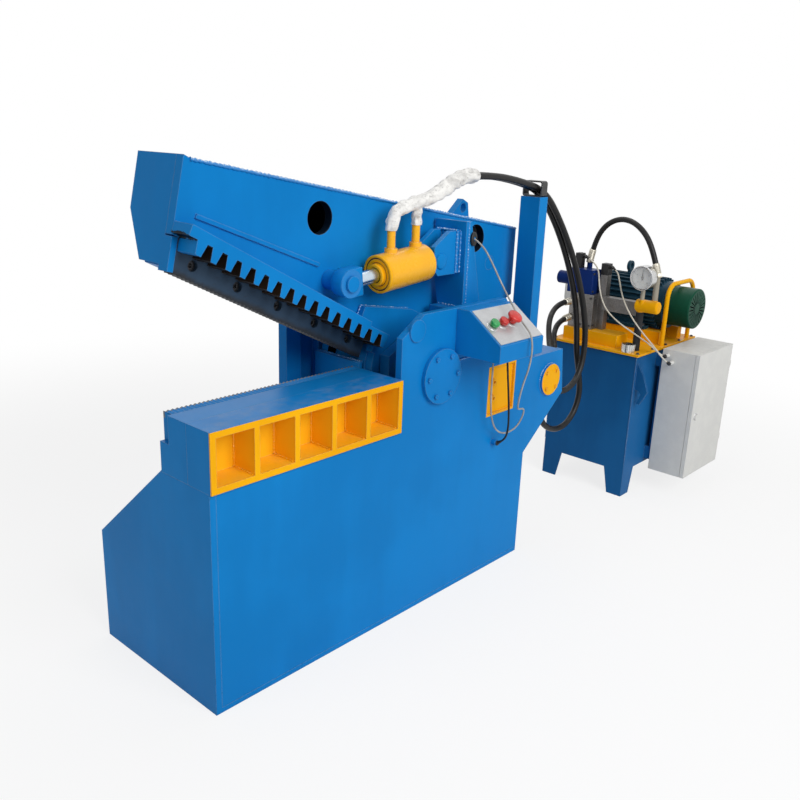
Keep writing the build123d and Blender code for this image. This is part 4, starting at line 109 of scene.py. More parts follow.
class Finish:  # one material and its nodes
    def __init__(self, name):
        self.material = bpy.data.materials.new(name)
        self.material.use_nodes = True
        self.tree = self.material.node_tree
        self.tree.nodes.clear()
        self.place = self.node("ShaderNodeTexCoord", {}, {}, "Object")

    def node(self, kind, settings=None, feeds=None, out=0):
        made = self.tree.nodes.new(kind)
        for key, value in (settings or {}).items():
            setattr(made, key, value)
        for key, value in (feeds or {}).items():
            if isinstance(value, Tap):
                self.tree.links.new(value.socket, made.inputs[key])
            else:
                made.inputs[key].default_value = value
        return Tap(self, made.outputs[out]) if len(made.outputs) else made

    def cloud(self, scale, detail=3, rough=0.5, stretch=None):
        where = self.place
        if stretch:
            where = self.node("ShaderNodeMapping", {}, {"Vector": where, "Scale": stretch})
        return self.node("ShaderNodeTexNoise", {},
                         {"Vector": where, "Scale": scale, "Detail": detail, "Roughness": rough})

    def ramp(self, value, low, high, a=0.0, b=1.0):
        return self.node("ShaderNodeMapRange", {"interpolation_type": "SMOOTHSTEP"},
                         {0: value, 1: low, 2: high, 3: a, 4: b})

    def mix(self, share, a, b):
        return self.node("ShaderNodeMix", {"data_type": "RGBA"}, {0: share, 6: a, 7: b}, 2)

    def vector(self, kind, a, b, out=1):
        return self.node("ShaderNodeVectorMath", {"operation": kind}, {0: a, 1: b}, out)

    def along(self, way):
        return self.vector("DOT_PRODUCT", self.place, way)

    def spread(self, point, plane=(1, 1, 1)):  # how far a place is from a point
        return self.vector("DISTANCE", self.vector("MULTIPLY", self.place, plane, 0),
                           [a * b for a, b in zip(point, plane)])

    def facing(self):
        flat = self.node("ShaderNodeNewGeometry", {}, {}, "Normal")
        return flat, self.node("ShaderNodeSeparateXYZ", {}, {0: flat}, 2)

    def softEdge(self, flat, radius):
        soft = self.node("ShaderNodeBevel", {"samples": 4}, {"Radius": radius})
        return soft, self.ramp(1 - self.vector("DOT_PRODUCT", soft, flat), 0.015, 0.16)

    def coat(self, colour, rough, metal=0.0, height=None, strength=0.2, depth=0.001, under=None, more=None):
        feeds = {"Base Color": colour, "Roughness": rough, "Metallic": metal}
        if height is not None:
            bump = {"Height": height, "Strength": strength, "Distance": depth}
            if under is not None:
                bump["Normal"] = under
            feeds["Normal"] = self.node("ShaderNodeBump", {}, bump)
        feeds.update(more or {})
        shader = self.node("ShaderNodeBsdfPrincipled", {}, feeds)
        self.node("ShaderNodeOutputMaterial", {}, {0: shader})
        return self.material


def rgb(r, g, b):
    return (r, g, b, 1.0)


enamelSets = {
    "blue_paint": {"bright": rgb(0.005, 0.222, 0.6), "deep": rgb(0.004, 0.188, 0.52),
                   "under": rgb(0.03, 0.045, 0.07),
                   "dust": 0.06, "dustTone": rgb(0.16, 0.3, 0.45), "edge": 0.004, "wear": 0.55,
                   "rough": 0.33},
    "yellow_paint": {"bright": rgb(0.97, 0.48, 0.004), "deep": rgb(0.88, 0.4, 0.003),
                     "under": rgb(0.13, 0.1, 0.07),
                     "dust": 0.12, "dustTone": rgb(0.6, 0.46, 0.24), "edge": 0.003, "wear": 0.5,
                     "rough": 0.34},
    "tank_blue": {"bright": rgb(0.012, 0.125, 0.34), "deep": rgb(0.009, 0.09, 0.255),
                  "under": rgb(0.04, 0.05, 0.065),
                  "dust": 0.14, "dustTone": rgb(0.2, 0.25, 0.33), "edge": 0.003, "wear": 0.5, "rough": 0.34},
    "cowl_green": {"bright": rgb(0.008, 0.075, 0.042), "deep": rgb(0.005, 0.045, 0.026),
                   "under": rgb(0.1, 0.1, 0.1),
                   "dust": 0.1, "dustTone": rgb(0.12, 0.14, 0.12), "edge": 0.002, "wear": 0.35,
                   "rough": 0.34},
    "coil_navy": {"bright": rgb(0.006, 0.03, 0.17), "deep": rgb(0.004, 0.019, 0.11),
                  "under": rgb(0.1, 0.1, 0.11),
                  "dust": 0.1, "dustTone": rgb(0.12, 0.14, 0.2), "edge": 0.0015, "wear": 0.3, "rough": 0.38},
    "motor_teal": {"bright": rgb(0.012, 0.05, 0.082), "deep": rgb(0.007, 0.03, 0.052),
                   "under": rgb(0.08, 0.08, 0.08),
                   "dust": 0.07, "dustTone": rgb(0.12, 0.15, 0.17), "edge": 0.0015, "wear": 0.3,
                   "rough": 0.36},
}


def enamel(name, s, marks=None):
    f = Finish(name)
    flat, up = f.facing()
    broad, runs = f.cloud(1.9, 4), f.cloud(11, 5, 0.55, (1, 1, 0.16))
    shade = f.ramp(broad * 0.75 + runs * 0.25, 0.38, 0.62)
    tone = f.mix(shade, s["deep"], s["bright"])
    for mask, deep, bright in marks(f, flat, up) if marks else ():
        tone = f.mix(mask, tone, f.mix(shade, deep, bright))
    dusty = f.ramp(up, 0.5, 0.95) * f.ramp(f.cloud(17, 7, 0.65), 0.4, 0.68) * s["dust"]
    tone = f.mix(dusty, tone, s["dustTone"])
    soft, edge = f.softEdge(flat, s["edge"])
    chips = edge * f.ramp(f.cloud(70, 7, 0.7), 0.56, 0.62) * s["wear"]
    spots = f.ramp(f.cloud(140, 4, 0.6), 0.7, 0.73) * f.ramp(broad, 0.5, 0.62) * 0.4
    # painted highlight: edges lightened toward pale blue-grey, as if catching the light
    tone = f.mix(edge * 0.14, tone, rgb(0.7, 0.78, 0.85))
    tone = f.mix(f.node("ShaderNodeMath", {"operation": "MAXIMUM"}, {0: chips, 1: spots}), tone, s["under"])
    peel = f.cloud(520, 2) * 0.1 + f.cloud(7, 2) * 2.0 + runs * 0.25 - chips * 0.3
    rough = f.cloud(26, 5, 0.6) * 0.16 + dusty * 0.4 + chips * 0.2 + (s["rough"] - 0.06)
    sheen = f.ramp(up, 0.7, 0.98) * 0.3
    more = {"Specular IOR Level": s.get("gloss", 0.06), "Coat Weight": sheen, "Coat Roughness": 0.3}
    return f.coat(tone, rough, 0.0, peel, 0.3, 0.0016, soft, more)


blueSet, yellowSet = enamelSets["blue_paint"], enamelSets["yellow_paint"]
# dark rust tones; in the tooth gaps they also stand in for shade
rustAndShadePair = (rgb(0.012, 0.009, 0.008), rgb(0.034, 0.02, 0.012))
bluePair = (blueSet["deep"], blueSet["bright"])


def pocketMarks(f, flat, up):  # blue on top and at the nose end; painted light on the pockets' inner walls
    lid = f.ramp(f.along((0, 0, 1)), 0.8195, 0.8215) * f.ramp(up, 0.5, 0.7)
    # painted light: the pockets' inner walls get a brighter copy of the yellow, lifted to make up for the
    # shade in them
    inside = f.ramp(f.along((0, 1, 0)), -0.2885, -0.28)
    end = f.ramp(f.along((-1, 0, 0)), 0.7033, 0.7037) * f.ramp(f.along((0, 1, 0)), -0.2865, -0.2855)
    return ((inside, rgb(0.95, 0.5, 0.012), rgb(1.0, 0.56, 0.016)), (lid, *bluePair), (end, *bluePair))


def coverMarks(f, flat, up):  # blue rims
    side = f.node("ShaderNodeSeparateXYZ", {}, {0: f.vector("ABSOLUTE", flat, (0, 0, 0), 0)}, 1)
    return ((f.ramp(side, 0.6, 0.4) * f.ramp(f.spread((0.832, 0, 0.668), (1, 0, 1)), 0.054, 0.056),
             *bluePair),)


# the hole tones are painted shade
holeSet = {"places": ((-0.51, 0.296), (0.209, 0.53)), "rim": (0.0492, 0.0484),
           "shadeTones": (rgb(0.002, 0.006, 0.014), rgb(0.004, 0.012, 0.026))}


def holeShadeMarks(f, flat, up):  # painted shade: near-black on the walls of the jaw's round holes
    holes = [f.ramp(f.spread(jawPoint(x, 0, z), (1, 0, 1)), *holeSet["rim"]) for x, z in holeSet["places"]]
    return [(hole, *holeSet["shadeTones"]) for hole in holes]


def shellShadeMarks(f, flat, up):  # painted shade: near-black on the near-facing faces inside the box
    rise = jawUp - jawAlong * 0.2903
    under = f.ramp(f.along(rise) - Vector(jawSet["pivot"]).dot(rise), 0.532, 0.528)
    near = f.ramp(f.vector("DOT_PRODUCT", flat, (0, -1, 0)), 0.5, 0.8)
    return ((under * near, rgb(0.004, 0.006, 0.01), rgb(0.008, 0.012, 0.02)),)


# tones for the painted highlights on the weld beads
beadHighlightTones = {"blue_paint": (rgb(0.4, 0.58, 0.74), rgb(0.75, 0.86, 0.94)),
          "tank_blue": (rgb(0.2, 0.34, 0.5), rgb(0.4, 0.55, 0.7)),
          "yellow_paint": (rgb(1.0, 0.6, 0.06), rgb(1.0, 0.72, 0.22))}


def beadHighlightMarks(pair):  # painted highlights: pale dots on the upward-facing bead surfaces
    return lambda f, flat, up: ((f.ramp(f.cloud(230, 2), 0.5, 0.58) * f.ramp(up, -0.1, 0.5) * 0.75, *pair),)


def toothMarks(f, flat, up):  # rusty bare steel in the gaps, darkened further as painted shade; a torch scar on the end
    height = f.along(jawUp) - Vector(jawSet["pivot"]).dot(jawUp)
    ahead = f.along(-jawAlong) + Vector(jawSet["pivot"]).dot(jawAlong)
    side = f.ramp(f.vector("DOT_PRODUCT", flat, (0, -1, 0)), 0.75, 0.45)
    side = side * f.ramp(f.vector("DOT_PRODUCT", flat, jawUp), 0.85, 0.6)
    gaps = side * f.ramp(ahead, 0.91, 0.904)
    ragged = height - 0.066 + (f.cloud(55, 6, 0.7) - 0.5) * 0.03
    tear = f.node("ShaderNodeMath", {"operation": "ABSOLUTE"}, {0: ragged})
    scar = f.ramp(tear, 0.006, 0.003) * side * f.ramp(ahead, 0.904, 0.91)
    return ((gaps, *rustAndShadePair), (scar, rgb(0.004, 0.004, 0.005), rgb(0.012, 0.012, 0.014)))


def edgeMarks(f, flat, up):  # the table's blade is bare along its cutting edge
    bare = f.ramp(f.along((0, 1, 0)) + f.cloud(40, 5, 0.6) * 0.012, -0.071, -0.066)
    bare = bare * f.ramp(f.along((0, 0, 1)), 0.802, 0.808) * f.ramp(f.along((-1, 0, 0)), 0.7035, 0.7025)
    return ((bare, rgb(0.13, 0.14, 0.15), rgb(0.27, 0.28, 0.29)),)


def standMarks(f, flat, up):  # dark stand below, plated fittings above
    high = f.along((0, 0, 1))
    return ((f.ramp(high, 0.8315, 0.8305), rgb(0.02, 0.022, 0.025), rgb(0.05, 0.052, 0.056)),
            (f.ramp(high, 0.8875, 0.8885), rgb(0.34, 0.31, 0.25), rgb(0.6, 0.57, 0.48)))


steelSets = {
    "pin_steel": {"bright": rgb(0.5, 0.5, 0.5), "deep": rgb(0.27, 0.26, 0.25), "grain": (9, 1, 9),
                  "rough": 0.3},
    "bolt_steel": {"bright": rgb(0.09, 0.095, 0.105), "deep": rgb(0.03, 0.03, 0.036), "grain": (3, 3, 3),
                   "rough": 0.36},
    "strap_steel": {"bright": rgb(0.1, 0.1, 0.1), "deep": rgb(0.035, 0.035, 0.036), "grain": (2, 2, 9),
                    "rough": 0.34},
    "block_grey": {"bright": rgb(0.3, 0.29, 0.28), "deep": rgb(0.15, 0.145, 0.14), "grain": (4, 4, 4),
                   "rough": 0.42},
    "pump_grey": {"bright": rgb(0.5, 0.5, 0.5), "deep": rgb(0.3, 0.3, 0.29), "grain": (3, 3, 3),
                  "rough": 0.42},
    "gauge_steel": {"bright": rgb(0.72, 0.72, 0.72), "deep": rgb(0.5, 0.5, 0.5), "grain": (1, 6, 6),
                    "rough": 0.2},
    "fitting_zinc": {"bright": rgb(0.62, 0.59, 0.5), "deep": rgb(0.36, 0.33, 0.27), "grain": (5, 5, 5),
                     "rough": 0.32},
}


def groundSteel(name, s):
    f = Finish(name)
    flat = f.facing()[0]
    soft, edge = f.softEdge(flat, 0.0012)
    grain, stain = f.cloud(60, 5, 0.6, s["grain"]), f.cloud(13, 6, 0.65)
    tone = f.mix(f.ramp(grain * 0.6 + stain * 0.5, 0.34, 0.76), s["deep"], s["bright"])
    rust = f.ramp(f.cloud(38, 8, 0.7), 0.68, 0.8) * 0.45
    tone = f.mix(edge * 0.25, f.mix(rust, tone, rgb(0.12, 0.06, 0.03)), rgb(0.7, 0.7, 0.7))
    rough = s["rough"] + grain * 0.18 + stain * 0.14 + rust * 0.3 - 0.14
    return f.coat(tone, rough, 1.0 - rust * 0.8, grain * 0.6 + stain * 0.5, 0.2, 0.0006, soft)


bladeSet = {"paint": (rgb(0.012, 0.032, 0.062), rgb(0.04, 0.075, 0.125)),
            "bare": (rgb(0.012, 0.014, 0.018), rgb(0.045, 0.05, 0.058))}


def bladeFinish(name, s):  # worn navy paint, bare along the toothed edge
    f = Finish(name)
    soft, edge = f.softEdge(f.facing()[0], 0.0015)
    stain, scratch = f.cloud(11, 6, 0.65), f.cloud(46, 5, 0.6, (0.4, 1, 5))
    height = f.along(jawUp) - Vector(jawSet["pivot"]).dot(jawUp)
    bare = f.ramp(height + stain * 0.03, 0.006, -0.012)
    rubbed = f.ramp(scratch, 0.62, 0.7) * 0.6 + edge * 0.4
    bare = f.node("ShaderNodeMath", {"operation": "MAXIMUM"}, {0: bare, 1: rubbed})
    tone = f.mix(bare, f.mix(stain, *s["paint"]), f.mix(scratch, *s["bare"]))
    tone = f.mix(f.ramp(f.cloud(30, 7, 0.7), 0.62, 0.76) * 0.4, tone, rustAndShadePair[1])
    rough, height = 0.4 + stain * 0.2 - bare * 0.06, scratch * 0.6 + stain * 0.5
    return f.coat(tone, rough, bare * 0.25, height, 0.22, 0.0008, soft, {"Specular IOR Level": 0.2})


chromeSets = {
    # painted reflection: the rod's chrome tones are tinted blue for the blue jaw it reflects
    "rod_chrome": {"bright": rgb(0.6, 0.7, 0.79), "deep": rgb(0.46, 0.57, 0.68), "rough": 0.16,
                   "eye": (-0.396, 0.148), "reach": 0.0425},
    "cap_chrome": {"bright": rgb(0.78, 0.78, 0.77), "deep": rgb(0.6, 0.6, 0.58), "rough": 0.14},
}


def chrome(name, s):
    f = Finish(name)
    soft = f.softEdge(f.facing()[0], 0.0012)[0]
    film, rings = f.cloud(22, 6, 0.6), f.cloud(160, 3, 0.5, (4, 0.6, 0.6))
    tone = f.mix(f.ramp(film, 0.4, 0.66), s["bright"], s["deep"])
    rough, metal = s["rough"] + film * 0.12 + rings * 0.05, 1.0
    if "eye" in s:  # the rod's eye is painted
        away = f.spread(jawPoint(s["eye"][0], 0, s["eye"][1]), (1, 0, 1))
        paint = f.ramp(away, s["reach"] + 0.002, s["reach"] + 0.001)
        tone = f.mix(paint, tone, f.mix(film, *bluePair))
        rough, metal = rough + paint * 0.25, 1.0 - paint
    return f.coat(tone, rough, metal, rings, 0.05, 0.0003, soft)


mouldSets = {
    "plug_black": {"bright": rgb(0.014, 0.014, 0.015), "deep": rgb(0.007, 0.007, 0.008), "grain": 900,
                   "rough": 0.42, "gloss": 0.35},
    "start_green": {"bright": rgb(0.02, 0.4, 0.1), "deep": rgb(0.014, 0.3, 0.07), "grain": 1400,
                    "rough": 0.22},
    "stop_red": {"bright": rgb(0.62, 0.022, 0.016), "deep": rgb(0.5, 0.014, 0.011), "grain": 1400,
                 "rough": 0.22},
    "needle_black": {"bright": rgb(0.016, 0.016, 0.018), "deep": rgb(0.01, 0.01, 0.01), "grain": 900,
                     "rough": 0.42},
    "hose_rubber": {"bright": rgb(0.009, 0.0085, 0.008), "deep": rgb(0.004, 0.004, 0.004), "grain": 620,
                    "rough": 0.4, "gloss": 0.28},
    "cable_cream": {"bright": rgb(0.72, 0.68, 0.58), "deep": rgb(0.56, 0.52, 0.43), "grain": 800,
                    "rough": 0.42},
    "wire_grey": {"bright": rgb(0.42, 0.41, 0.38), "deep": rgb(0.28, 0.27, 0.25), "grain": 800,
                  "rough": 0.45},
    "cable_black": {"bright": rgb(0.009, 0.009, 0.009), "deep": rgb(0.004, 0.004, 0.004), "grain": 800,
                    "rough": 0.4, "gloss": 0.3},
    "cabinet_grey": {"bright": rgb(0.71, 0.71, 0.68), "deep": rgb(0.665, 0.665, 0.64), "grain": 1100,
                     "rough": 0.42},
    "dial_white": {"bright": rgb(0.78, 0.78, 0.76), "deep": rgb(0.7, 0.7, 0.67), "grain": 1200, "rough": 0.4},
}


def moulded(name, s):
    f = Finish(name)
    flat, up = f.facing()
    soft, edge = f.softEdge(flat, 0.0014)
    blot, grit = f.cloud(16, 5, 0.6), f.cloud(s["grain"], 2)
    tone = f.mix(f.ramp(blot, 0.36, 0.66), s["deep"], s["bright"])
    dusty = f.ramp(up, 0.45, 0.95) * f.ramp(f.cloud(48, 6, 0.65), 0.42, 0.68) * 0.12
    # edges lightened toward grey as a painted highlight; the pale grey on upward faces is dust
    tone = f.mix(dusty, f.mix(edge * 0.12, tone, rgb(0.6, 0.6, 0.6)), rgb(0.36, 0.35, 0.32))
    rough, height = blot * 0.2 + dusty * 0.6 + (s["rough"] - 0.1), grit * 0.4 + blot * 0.1
    return f.coat(tone, rough, 0.0, height, 0.12, 0.0004, soft, {"Specular IOR Level": s.get("gloss", 0.5)})


panelSet = {"bright": rgb(0.6, 0.61, 0.62), "deep": rgb(0.45, 0.46, 0.47), "grain": (1.2, 42, 42),
            "rough": 0.36}


def brushedPanel(name, s):
    f = Finish(name)
    soft, edge = f.softEdge(f.facing()[0], 0.001)
    lines, stain = f.cloud(55, 4, 0.6, s["grain"]), f.cloud(19, 6, 0.6)
    tone = f.mix(f.ramp(lines * 0.7 + stain * 0.4, 0.32, 0.74), s["deep"], s["bright"])
    rough = s["rough"] + lines * 0.14 + stain * 0.12 + edge * 0.05 - 0.1
    return f.coat(tone, rough, 0.6, lines, 0.16, 0.0004, soft)


wrapSet = {"bright": rgb(0.86, 0.85, 0.82), "deep": rgb(0.56, 0.55, 0.53), "weave": 430, "rough": 0.4}


def wovenWrap(name, s):
    f = Finish(name)
    folds, stain = f.cloud(36, 5, 0.6, (1, 1, 1.6)), f.cloud(9, 5, 0.6)
    over = f.node("ShaderNodeTexWave", {"bands_direction": "DIAGONAL"},
                  {"Vector": f.place, "Scale": s["weave"]})
    # painted shade: the tone darkens toward the deep grey where the fold noise, which also lowers the bump,
    # forms creases; the stain noise adds real blotches
    tone = f.mix(f.ramp(folds * 0.6 + stain * 0.4, 0.36, 0.6), s["deep"], s["bright"])
    smudge = f.ramp(f.cloud(62, 6, 0.7, (1, 1, 1.8)), 0.56, 0.64) * 0.45
    tone = f.mix(smudge, tone, rgb(0.2, 0.19, 0.18))
    return f.coat(tone, s["rough"] + folds * 0.2 - 0.06, 0.0, folds * 1.6 + over * 0.04, 0.5, 0.003)


glassSet = {"clear": 0.08, "smear": 0.1}


def dialGlass(name, s):
    f = Finish(name)
    film = f.cloud(30, 5, 0.6)
    tone = f.mix(film, rgb(0.9, 0.92, 0.94), rgb(1, 1, 1))
    return f.coat(tone, 0.04 + film * 0.05, more={"Alpha": s["clear"] + film * s["smear"]})


finishes = {}
for makeFinish, sets in ((enamel, enamelSets), (groundSteel, steelSets), (chrome, chromeSets),
                         (moulded, mouldSets),
                         (brushedPanel, {"panel_grey": panelSet}), (wovenWrap, {"sleeve_white": wrapSet}),
                         (bladeFinish, {"blade_steel": bladeSet}), (dialGlass, {"gauge_glass": glassSet})):
    for slotName, values in sets.items():
        finishes[slotName] = makeFinish(slotName, values)
beadSet = {"edge": 0.0006, "wear": 0.2, "gloss": 0.8, "rough": 0.2}
for slotName in ("blue_paint", "tank_blue", "yellow_paint"):
    beadName, values = slotName + "_bead", {**enamelSets[slotName], **beadSet}
    finishes[beadName] = enamel(beadName, values, beadHighlightMarks(beadHighlightTones[slotName]))
ownFinishes = {
    "pocket_frame": enamel("pocket_enamel", yellowSet, pocketMarks),
    "trunnion_covers": enamel("cover_enamel", yellowSet, coverMarks),
    "toothed_bar": enamel("tooth_enamel", blueSet, toothMarks),
    "jaw_near_plate": enamel("near_plate_enamel", blueSet, holeShadeMarks),
    "jaw_shell": enamel("shell_enamel", blueSet, shellShadeMarks),
    "return_barrel": enamel("barrel_enamel", dict(yellowSet, gloss=0.5, rough=0.25)),
    "lower_blade": enamel("lower_blade_enamel", dict(blueSet, wear=0.9), edgeMarks),
    "pressure_manifold": enamel("manifold_enamel", yellowSet, standMarks),
}
for part in frame["record"]["subparts"]:
    node = frame["nodes"][part["node"]]
    for holder in node.material_slots:
        holder.material = ownFinishes.get(part["node"]) or finishes[part["material_slot"]]
print("finishes made:", len(finishes) + len(ownFinishes))


def keepPiece(mesh, name, body, slotName, finish=None, smooth=40):
    piece = bpy.data.objects.new(name, mesh)
    scene.collection.objects.link(piece)
    mesh.materials.append(finishes[finish or slotName])
    if smooth:
        mesh.shade_smooth()
        mesh.set_sharp_from_angle(angle=math.radians(smooth))
    if body:
        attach(piece, body)
    return piece


def bakeShape(shape, name, body, slotName, finish=None, smooth=40):
    mesh = bpy.data.meshes.new(name)
    shape.to_mesh(mesh)
    shape.free()
    return keepPiece(mesh, name, body, slotName, finish, smooth)


cordSets = {
    "near_post_hose": {"thick": 0.024, "length": 1.509, "slot": "hose_rubber", "lay": "hanging",
                       "stiff": "stiff", "route": (
        (0.452, -0.1735, 1.408), (0.548, -0.1735, 1.408), (0.700, -0.1735, 1.388), (0.866, -0.1735, 1.350),
        (0.985, -0.176, 1.235), (1.095, -0.184, 1.085), (1.175, -0.192, 0.925), (1.212, -0.200, 0.790),
        (1.208, -0.206, 0.675), (1.165, -0.210, 0.590), (1.085, -0.212, 0.555), (1.010, -0.212, 0.568),
        (0.962, -0.212, 0.600))},
    "far_post_hose": {"thick": 0.024, "length": 1.861, "slot": "hose_rubber", "lay": "hanging",
                      "stiff": "stiff", "route": (
        (0.452, -0.1465, 1.408), (0.548, -0.1465, 1.408), (0.700, -0.1465, 1.388), (0.866, -0.1465, 1.350),
        (0.985, -0.150, 1.235), (1.090, -0.156, 1.085), (1.165, -0.163, 0.925), (1.195, -0.169, 0.790),
        (1.205, -0.172, 0.690), (1.235, -0.174, 0.600), (1.262, -0.175, 0.505), (1.230, -0.175, 0.420),
        (1.150, -0.175, 0.372), (1.045, -0.176, 0.385), (0.955, -0.178, 0.450), (0.925, -0.178, 0.548))},
    "high_valve_hose": {"thick": 0.024, "length": 0.658, "slot": "hose_rubber", "lay": "hanging",
                        "stiff": "stiff", "route": (
        (1.500, 0.055, 0.832), (1.405, 0.053, 0.838), (1.300, 0.035, 0.790), (1.235, -0.015, 0.700),
        (1.165, -0.080, 0.655), (1.065, -0.145, 0.650), (0.962, -0.175, 0.662))},
    "low_valve_hose": {"thick": 0.024, "length": 0.634, "slot": "hose_rubber", "lay": "hanging",
                       "stiff": "stiff", "route": (
        (1.500, 0.055, 0.760), (1.405, 0.047, 0.757), (1.305, 0.010, 0.715), (1.230, -0.055, 0.655),
        (1.150, -0.120, 0.610), (1.055, -0.163, 0.605), (0.962, -0.175, 0.626))},
    "top_hose": {"thick": 0.024, "length": 0.583, "slot": "hose_rubber", "lay": "taut", "stiff": "stiff",
                 "route": (
        (1.588, 0.026, 1.015), (1.588, 0.010, 1.110), (1.580, -0.050, 1.190), (1.571, -0.140, 1.215),
        (1.562, -0.228, 1.175), (1.554, -0.290, 1.090), (1.552, -0.322, 0.995))},
    "first_cable": {"thick": 0.0065, "length": 0.632, "slot": "cable_cream", "lay": "hanging",
                    "stiff": "medium", "route": (
        (1.560, 0.035, 1.030), (1.556, 0.002, 1.020), (1.546, -0.046, 0.985), (1.532, -0.064, 0.905),
        (1.514, -0.108, 0.828), (1.510, -0.178, 0.778), (1.516, -0.255, 0.742), (1.545, -0.328, 0.698),
        (1.582, -0.364, 0.652), (1.620, -0.370, 0.640))},
    "second_cable": {"thick": 0.0065, "length": 0.542, "slot": "cable_cream", "lay": "hanging",
                     "stiff": "medium", "route": (
        (1.580, -0.092, 0.995), (1.574, -0.122, 0.985), (1.560, -0.144, 0.945), (1.536, -0.177, 0.885),
        (1.516, -0.230, 0.820), (1.512, -0.294, 0.757), (1.535, -0.352, 0.695), (1.575, -0.385, 0.636),
        (1.620, -0.392, 0.612))},
    "grey_wire": {"thick": 0.006, "length": 1.32, "slot": "wire_grey", "lay": "hanging", "stiff": "medium",
                  "route": (
        (0.406, -0.217, 1.211), (0.407, -0.250, 1.196), (0.420, -0.280, 1.146), (0.432, -0.304, 1.096),
        (0.437, -0.332, 1.052), (0.436, -0.360, 1.018), (0.432, -0.388, 0.988), (0.420, -0.426, 0.960),
        (0.408, -0.466, 0.936), (0.402, -0.478, 0.886), (0.400, -0.472, 0.828), (0.408, -0.450, 0.772),
        (0.424, -0.428, 0.714), (0.480, -0.386, 0.650), (0.532, -0.366, 0.636), (0.580, -0.348, 0.622),
        (0.600, -0.332, 0.585), (0.582, -0.321, 0.545), (0.536, -0.315, 0.532), (0.490, -0.312, 0.543),
        (0.452, -0.314, 0.574), (0.427, -0.318, 0.620), (0.412, -0.323, 0.672), (0.403, -0.328, 0.725),
        (0.400, -0.330, 0.780), (0.400, -0.330, 0.838))},
    "black_cable": {"thick": 0.007, "length": 0.358, "slot": "cable_black", "lay": "hanging",
                    "stiff": "medium", "route": (
        (0.470, -0.335, 0.838), (0.474, -0.340, 0.770), (0.484, -0.344, 0.690), (0.492, -0.346, 0.610),
        (0.496, -0.344, 0.556), (0.497, -0.330, 0.516), (0.497, -0.300, 0.500))},
}


def routeCurve(name, route, thick=0.0, steps=10):
    line = bpy.data.curves.new(name, "CURVE")
    line.dimensions = "3D"
    run = line.splines.new("NURBS")
    run.points.add(len(route) - 1)
    for point, place in zip(run.points, route):
        point.co = (*place, 1)
    run.order_u, run.use_endpoint_u = 3, True
    line.resolution_u, line.bevel_resolution = steps, 5
    line.bevel_depth, line.use_fill_caps = thick / 2, True
    return line


for cordName, s in cordSets.items():
    line = routeCurve(cordName + "_run", s["route"], s["thick"])
    line.materials.append(finishes[s["slot"]])
    cord = bpy.data.objects.new(cordName + "_run", line)
    scene.collection.objects.link(cord)
    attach(cord, "root")
    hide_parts(cordName)
print("cords laid:", len(cordSets))


def splinePoints(route):
    probe = bpy.data.objects.new("probe", routeCurve("probe", route))
    mesh = bpy.data.meshes.new_from_object(probe)
    points = [v.co.copy() for v in mesh.vertices]
    bpy.data.objects.remove(probe)
    bpy.data.meshes.remove(mesh)
    return points


def sweepRings(shape, points, radii, sides):
    rings = []
    for i, (point, radius) in enumerate(zip(points, radii)):
        ahead = (points[min(i + 1, len(points) - 1)] - points[max(i - 1, 0)]).normalized()
        turn = ahead.to_track_quat("Z", "Y").to_matrix().to_4x4()
        ring = bmesh.ops.create_circle(shape, segments=sides, radius=radius,
                                       matrix=Matrix.Translation(point) @ turn)
        rings.append(ring["verts"])
        edges = [e for v in ring["verts"] for e in v.link_edges]
        if i:
            bmesh.ops.bridge_loops(shape, edges=list(set(edges + last)))
        last = edges
    return rings


def closeShape(shape):
    bmesh.ops.holes_fill(shape, edges=[e for e in shape.edges if e.is_boundary], sides=0)
    bmesh.ops.recalc_face_normals(shape, faces=shape.faces)


sleeveSet = {"route": ((0.084, -0.143, 1.250), (0.084, -0.143, 1.302), (0.150, -0.146, 1.322),
                       (0.250, -0.152, 1.342),
                       (0.330, -0.158, 1.380), (0.395, -0.160, 1.408), (0.452, -0.160, 1.408)),
             "branch": ((0.197, -0.143, 1.262), (0.197, -0.147, 1.332)), "radius": (0.019, 0.0275),
             "branchRadius": 0.0165,
             "branchSteps": 14,
             "sides": 72, "widen": 1.6, "flat": 0.86, "flatten": 3, "fold": 0.0046, "sink": 0.6,
             "crease": {"scale": Vector((30, 46, 34)), "share": 2.4},
             "ridge": {"scale": Vector((85, 60, 70)), "shift": Vector((0, 0, 4)), "share": 0.45}}


def wrapSleeve(s):
    shape = bmesh.new()
    line = splinePoints(s["route"])
    low, high = Vector(s["branch"][0]), Vector(s["branch"][1])
    branch = [low.lerp(high, i / s["branchSteps"]) for i in range(s["branchSteps"] + 1)]
    spans = [i / (len(line) - 1) for i in range(len(line))]
    least, most = s["radius"]
    radii = [least + (most - least) * min(1, t * s["widen"]) for t in spans]
    crease, ridge = s["crease"], s["ridge"]
    for points, sizes in ((line, radii), (branch, [s["branchRadius"]] * len(branch))):
        for i, ring in enumerate(sweepRings(shape, points, sizes, s["sides"])):
            squash = 1 - (1 - s["flat"]) * min(1, s["flatten"] * i / len(points)) * (points is line)
            for v in ring:
                out = v.co - points[i]
                fold = abs(noise.noise(v.co * crease["scale"])) * crease["share"] - s["sink"]
                fold += noise.noise(v.co * ridge["scale"] + ridge["shift"]) * ridge["share"]
                out += out.normalized() * s["fold"] * fold
                v.co = points[i] + Vector((out.x * squash, out.y, out.z * squash))
    closeShape(shape)
    return bakeShape(shape, "hose_wrap", None, "sleeve_white", smooth=60)


wrap = wrapSleeve(sleeveSet)
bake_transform(wrap)
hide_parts("hose_sleeve")
print("sleeve wrapped")


